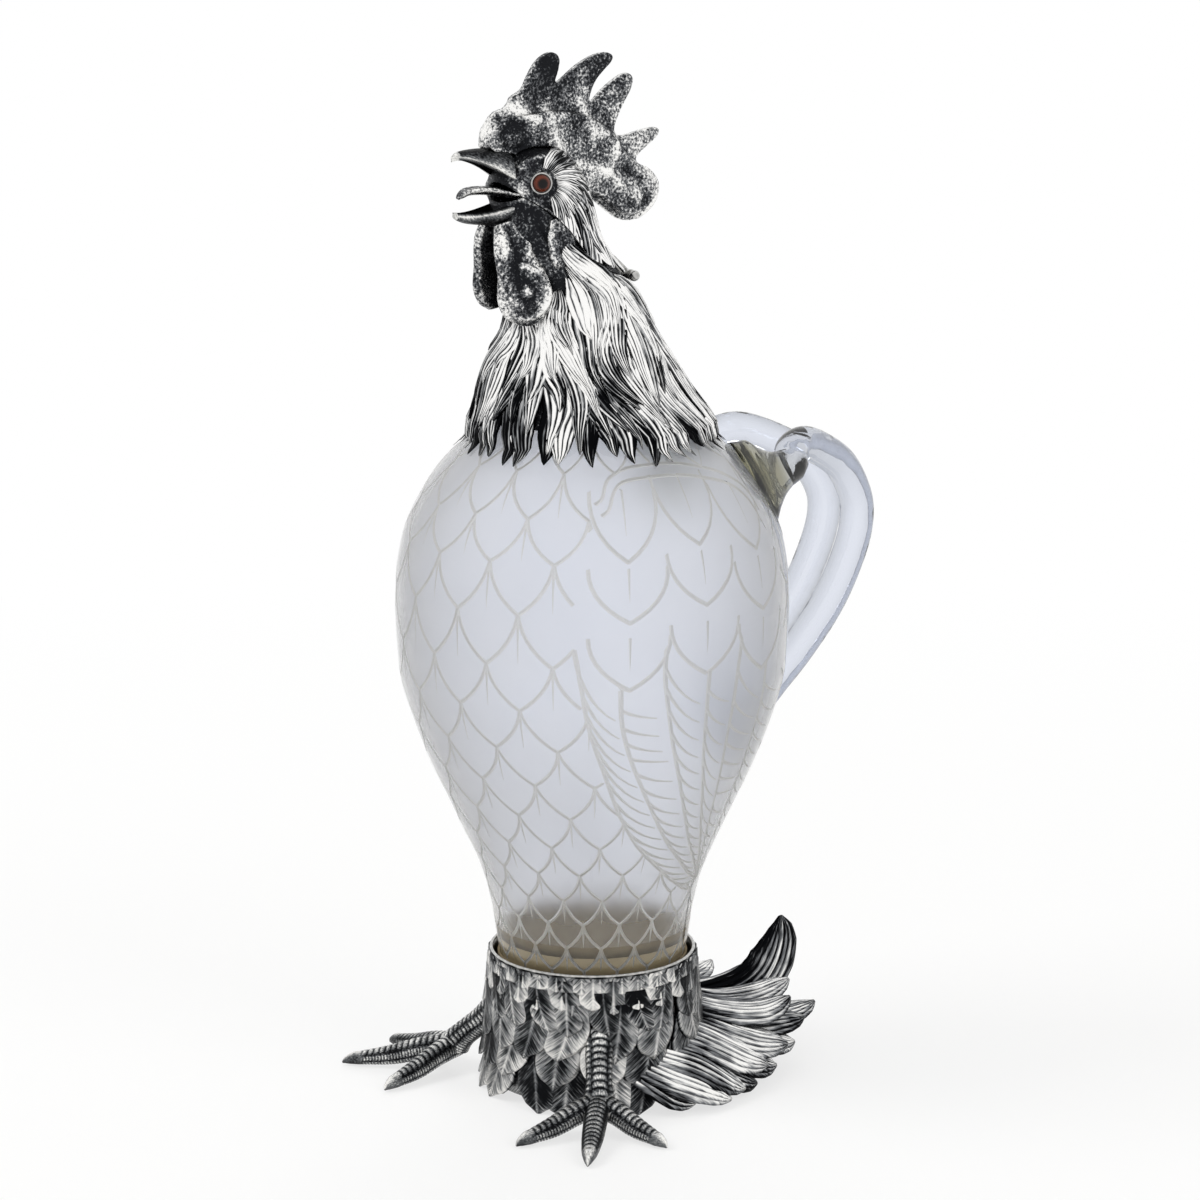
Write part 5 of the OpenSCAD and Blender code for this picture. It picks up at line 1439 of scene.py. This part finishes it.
# Tiers down the nape to the hinge: root height and half width of each
for root_z, half_width in ((307, 2.6), (316, 2.8), (325, 2.6)):
    for turn in np.linspace(-172, 172, 15):
        if abs(turn) < 118:
            continue
        turn += rng.uniform(-4, 4)
        lowest = float(cut_height(np.radians(np.array([turn])), *lid_edge)[0])
        tip_z = max(lowest, root_z - 17) + rng.uniform(0, 2)
        if root_z - tip_z > 5:
            course = [(turn, root_z), (turn + rng.uniform(-3, 3), (root_z + tip_z) / 2),
                      (turn, tip_z)]
            parts.append(hackle(course, half_width, 1, (0.1, 0.9), 4, rng.uniform(0, 9), lid_edge,
                                tone=rng.uniform(-0.1, 0.4)))
eye_ahead, eye_z, eye_r, eye_side = 29, 326, 3.1, 13.45
# Feathers in arcs behind the eye: root and tip as distance from it in side view, how many
# stand in an arc, and their half width. None hangs lower than the hinge
arcs_low = 292
for ring, (near, far, count, half_width) in enumerate(((5.5, 16, 14, 1.5), (12, 25, 12, 2.4),
                                                       (20, 34, 11, 2.6), (28, 43, 9, 2.8))):
    for k in range(count):
        for side in (1, -1):
            way = math.radians(112 + 125 * (k + 0.5 * (ring % 2)) / (count - 1))
            line = []
            for share in (0, 0.35, 0.7, 1):
                distance = near + (far - near) * share
                bent = way + 0.35 * share
                f = eye_ahead + distance * math.cos(bent)
                z = eye_z + 0.9 * distance * math.sin(bent)
                z = min(max(z, arcs_low), crown_z - 3)
                ahead, r, _ = (float(q) for q in neck_level(z))
                cosine = (f - ahead) / r
                line.append((side * math.degrees(math.acos(max(-1, min(1, cosine)))), z))
            lowest = cut_height(np.radians(np.array([t for t, _ in line])), brow_line, seam_gap / 2)
            if line[0][1] < lowest[0] + 1 or line[1][1] < lowest[1] - 3 or abs(line[0][0]) > 172:
                continue
            parts.append(hackle(line, half_width, 0.95, (0.1, 0.8), 3, rng.uniform(0, 9), lid_edge,
                                point=0.4, tone=rng.uniform(-0.4, 0.1) + 0.08 * ring))
bare_or_feathered = [1] * len(parts[0][1]) + [0] * sum(len(p[1]) for p in parts[1:])
lid = make_piece("feathered_head_lid", parts, [chased_silver, pebbled_silver], bare_or_feathered)
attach(lid, "head")
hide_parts("head_lid")

# The upper beak: cast silver, hooked and hollow, soldered to the front of the lid. It is painted
# dark on top as a painted reflection, and its edges and its hook are bright, partly rubbed and
# partly painted highlight.
upper_outer = beak_stations([(0.62, 0.826, 1.02, 0.93), (0.87, 0.876, 0.9, 0.67),
                             (1.13, 0.917, 0.7, 0.43), (1.38, 0.941, 0.43, 0.23),
                             (1.54, 0.943, 0.19, 0.12), (1.62, 0.93, 0.05, 0.05)])
upper_inner = upper_outer * (1, 1, 1, 0.75, 0.55) - (0, 0, 1.4, 0, 0)
rings = beak_half(upper_outer, upper_inner, start_turn=-25, end_turn=205, flare=0.08)
relief = beak_relief(rings, outside=0.25, rub=0.7, power=4, hollow=0.35, tip_rings=8, tip=0.9)
upper_beak = make_piece("upper_beak", [skin(rings, relief)], [scaled_silver])
sharpen(upper_beak, 60)
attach(upper_beak, "head")
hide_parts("upper_beak")

# The tongue: a small strip of cast silver, pebbled and dished along its top. It is soldered
# inside the lid and lifts with it.
tongue_shares = [(0.26, 0.641, 0.67, 0.12), (0.46, 0.648, 0.48, 0.13), (0.67, 0.67, 0.25, 0.15),
                 (0.9, 0.69, 0.18, 0.17), (1.12, 0.694, 0.17, 0.16), (1.33, 0.686, 0.14, 0.14),
                 (1.46, 0.656, 0.09, 0.11), (1.52, 0.63, 0.03, 0.05)]
# The real one is thicker than the solid in the frame
tongue_rows, thicker = [], 1.7
for ahead, height, wide, high in tongue_shares:
    f, z = head_at((ahead, height))
    tongue_rows.append((0, -f, z, wide * head_r, thicker * high * beak_half_h))
stations, tongue_sides = smooth(tongue_rows, 6), 32
rings = oval_rings(stations, (1, 0, 0), tongue_sides)
angle = np.linspace(0, 2 * math.pi, tongue_sides, endpoint=False)
# Which way up its rings run: the point a quarter round against the one three quarters round
top = np.sign(rings[5, tongue_sides // 4, 2] - rings[5, 3 * tongue_sides // 4, 2])
dish = np.clip(top * np.sin(angle), 0, 1) ** 2 * 0.6
rings[:, :, 2] -= dish[None] * stations[:, 4:5] * 1.2
tongue = make_piece("dished_tongue", [skin(rings, np.tile(0.75 - 0.5 * dish, (len(rings), 1)))],
                    [pebbled_silver])
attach(tongue, "head")
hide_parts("tongue")

# The comb: one fleshy casting with four points and a rear lobe, pebbled all over, with
# bright tips and bright folds that curl round dark hollows.
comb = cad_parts["comb"].copy()
comb.data = comb.data.copy()
comb.name = "pebbled_comb"
bpy.context.collection.objects.link(comb)
bpy.context.view_layer.objects.active = comb
comb.select_set(True)
bpy.ops.object.mode_set(mode="EDIT")
bpy.ops.mesh.select_all(action="SELECT")
bpy.ops.mesh.remove_doubles(threshold=0.01 * MM)
bpy.ops.object.mode_set(mode="OBJECT")
skin_mm = 0.55
remade = comb.modifiers.new("cast_skin", "REMESH")
remade.mode, remade.voxel_size = "VOXEL", skin_mm * MM
bpy.ops.object.modifier_apply(modifier="cast_skin")
eased = comb.modifiers.new("eased", "SMOOTH")
eased.factor, eased.iterations = 0.8, 14
bpy.ops.object.modifier_apply(modifier="eased")
comb.select_set(False)
places, normals = read(comb.data.vertices, "co", 3) / MM, read(comb.data.vertices, "normal", 3)
# Folds seen from the side: a line of [ahead, height], its half width and its lift
comb_folds = [([(44, 343), (41, 349), (36, 350.5), (30, 349), (25, 346)], 1.8, 1),
              ([(45, 337), (40, 334.5), (35, 333.5), (28, 331.5)], 1.5, 0.8),
              ([(38, 342), (35, 345), (31, 344), (29, 340), (32, 336.5), (37, 338)], 1.9, -1),
              ([(20.7, 351), (18.5, 342), (15.7, 334)], 2.2, 1.4),
              ([(6, 352), (3, 344), (2, 336)], 1.3, 0.8),
              ([(-8, 340), (-7, 333), (-4, 327)], 1.3, 0.8),
              ([(-11, 328), (-15, 326), (-18.5, 322), (-20, 318), (-17, 315), (-13, 317)],
               1.6, -1.1),
              ([(-21, 328), (-25, 323), (-24, 316), (-18, 311)], 1.5, 0.9),
              ([(-10, 322), (-6, 326), (0, 329), (8, 331)], 1.5, 0.8),
              ([(24, 345), (10, 346), (-3, 340)], 2.5, 0.45)]
lift = fold_lift(places, comb_folds)
facing = np.clip(np.abs(normals[:, 0]) * 1.5 - 0.3, 0, 1)
places += normals * (lift * facing * 0.8)[:, None]
comb.data.vertices.foreach_set("co", (places * MM).ravel())
# Bright along its edges, brighter at the back and the front, darker in the points
edge_glow = np.clip(1 - np.abs(places[:, 0]) / 1.6, 0, 1)
relief = 0.41 + 0.28 * lift + 0.22 * edge_glow \
    + np.interp(-places[:, 1], [-20, 2, 20, 45], [0.18, 0.02, -0.08, 0.08]) \
    - 0.13 * np.clip((places[:, 2] - 350) / 8, 0, 1) * (1 - edge_glow)
mark(comb.data, relief, places[read(comb.data.loops, "vertex_index")][:, 1:])
comb.data.materials.clear()
comb.data.materials.append(pebbled_silver)
comb.data.shade_smooth()
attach(comb, "head")
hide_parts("comb")

# The eyes: balls of amber glass with a dark pupil, cemented into the lid. Each is held by a
# ring of bright silver wire.
amber, tree, shader = new_material("amber_glass_eye", {
    "Roughness": 0.06, "Specular IOR Level": 0.25})
pupil = add_node(tree, "Attribute", attribute_name="relief")
ringed = add_node(tree, "ValToRGB", {0: pupil.outputs["Fac"]})
rim_stop, pupil_stop = ringed.color_ramp.elements
rim_stop.position, rim_stop.color = 0.25, linear("#2e1008")
pupil_stop.position, pupil_stop.color = 0.9, linear("#0a0303")
ringed.color_ramp.elements.new(0.72).color = linear("#70301a")
where = add_node(tree, "TexCoord")
streak = add_node(tree, "TexNoise", {"Vector": where.outputs["Object"], "Scale": 1 / (0.8 * MM)})
tint = add_node(tree, "Mix", {0: 0.35, 6: ringed.outputs[0], 7: streak.outputs["Fac"]},
                data_type="RGBA", blend_type="MULTIPLY")
tree.links.new(tint.outputs[2], shader.inputs["Base Color"])
# The eyes look a little ahead of straight aside
eye_turn, ring_r, ring_wire_r, ring_out = math.radians(20), 3.35, 0.4, 0.6
for name, side in (("left", 1), ("right", -1)):
    gaze = Vector((side * math.cos(eye_turn), -math.sin(eye_turn), 0))
    facing = gaze.to_track_quat("Z", "Y").to_euler()
    centre = Vector((side * eye_side, -eye_ahead, eye_z)) * MM
    bpy.ops.mesh.primitive_uv_sphere_add(segments=48, ring_count=32, radius=eye_r * MM,
                                         location=centre, rotation=facing)
    eye = bpy.context.active_object
    take_over(eye, "glass_eye_" + name, amber, ["eye_" + name], "head", 60)
    eye.data.attributes["relief"].data.foreach_set(
        "value", [max(0, v.normal.dot(gaze)) for v in eye.data.vertices])
    bpy.ops.mesh.primitive_torus_add(location=centre + gaze * ring_out * MM, major_segments=72,
                                     minor_segments=12, major_radius=ring_r * MM,
                                     minor_radius=ring_wire_r * MM, rotation=facing)
    take_over(bpy.context.active_object, "eye_ring_" + name, polished_silver,
              ["eye_bezel_" + name], "head")
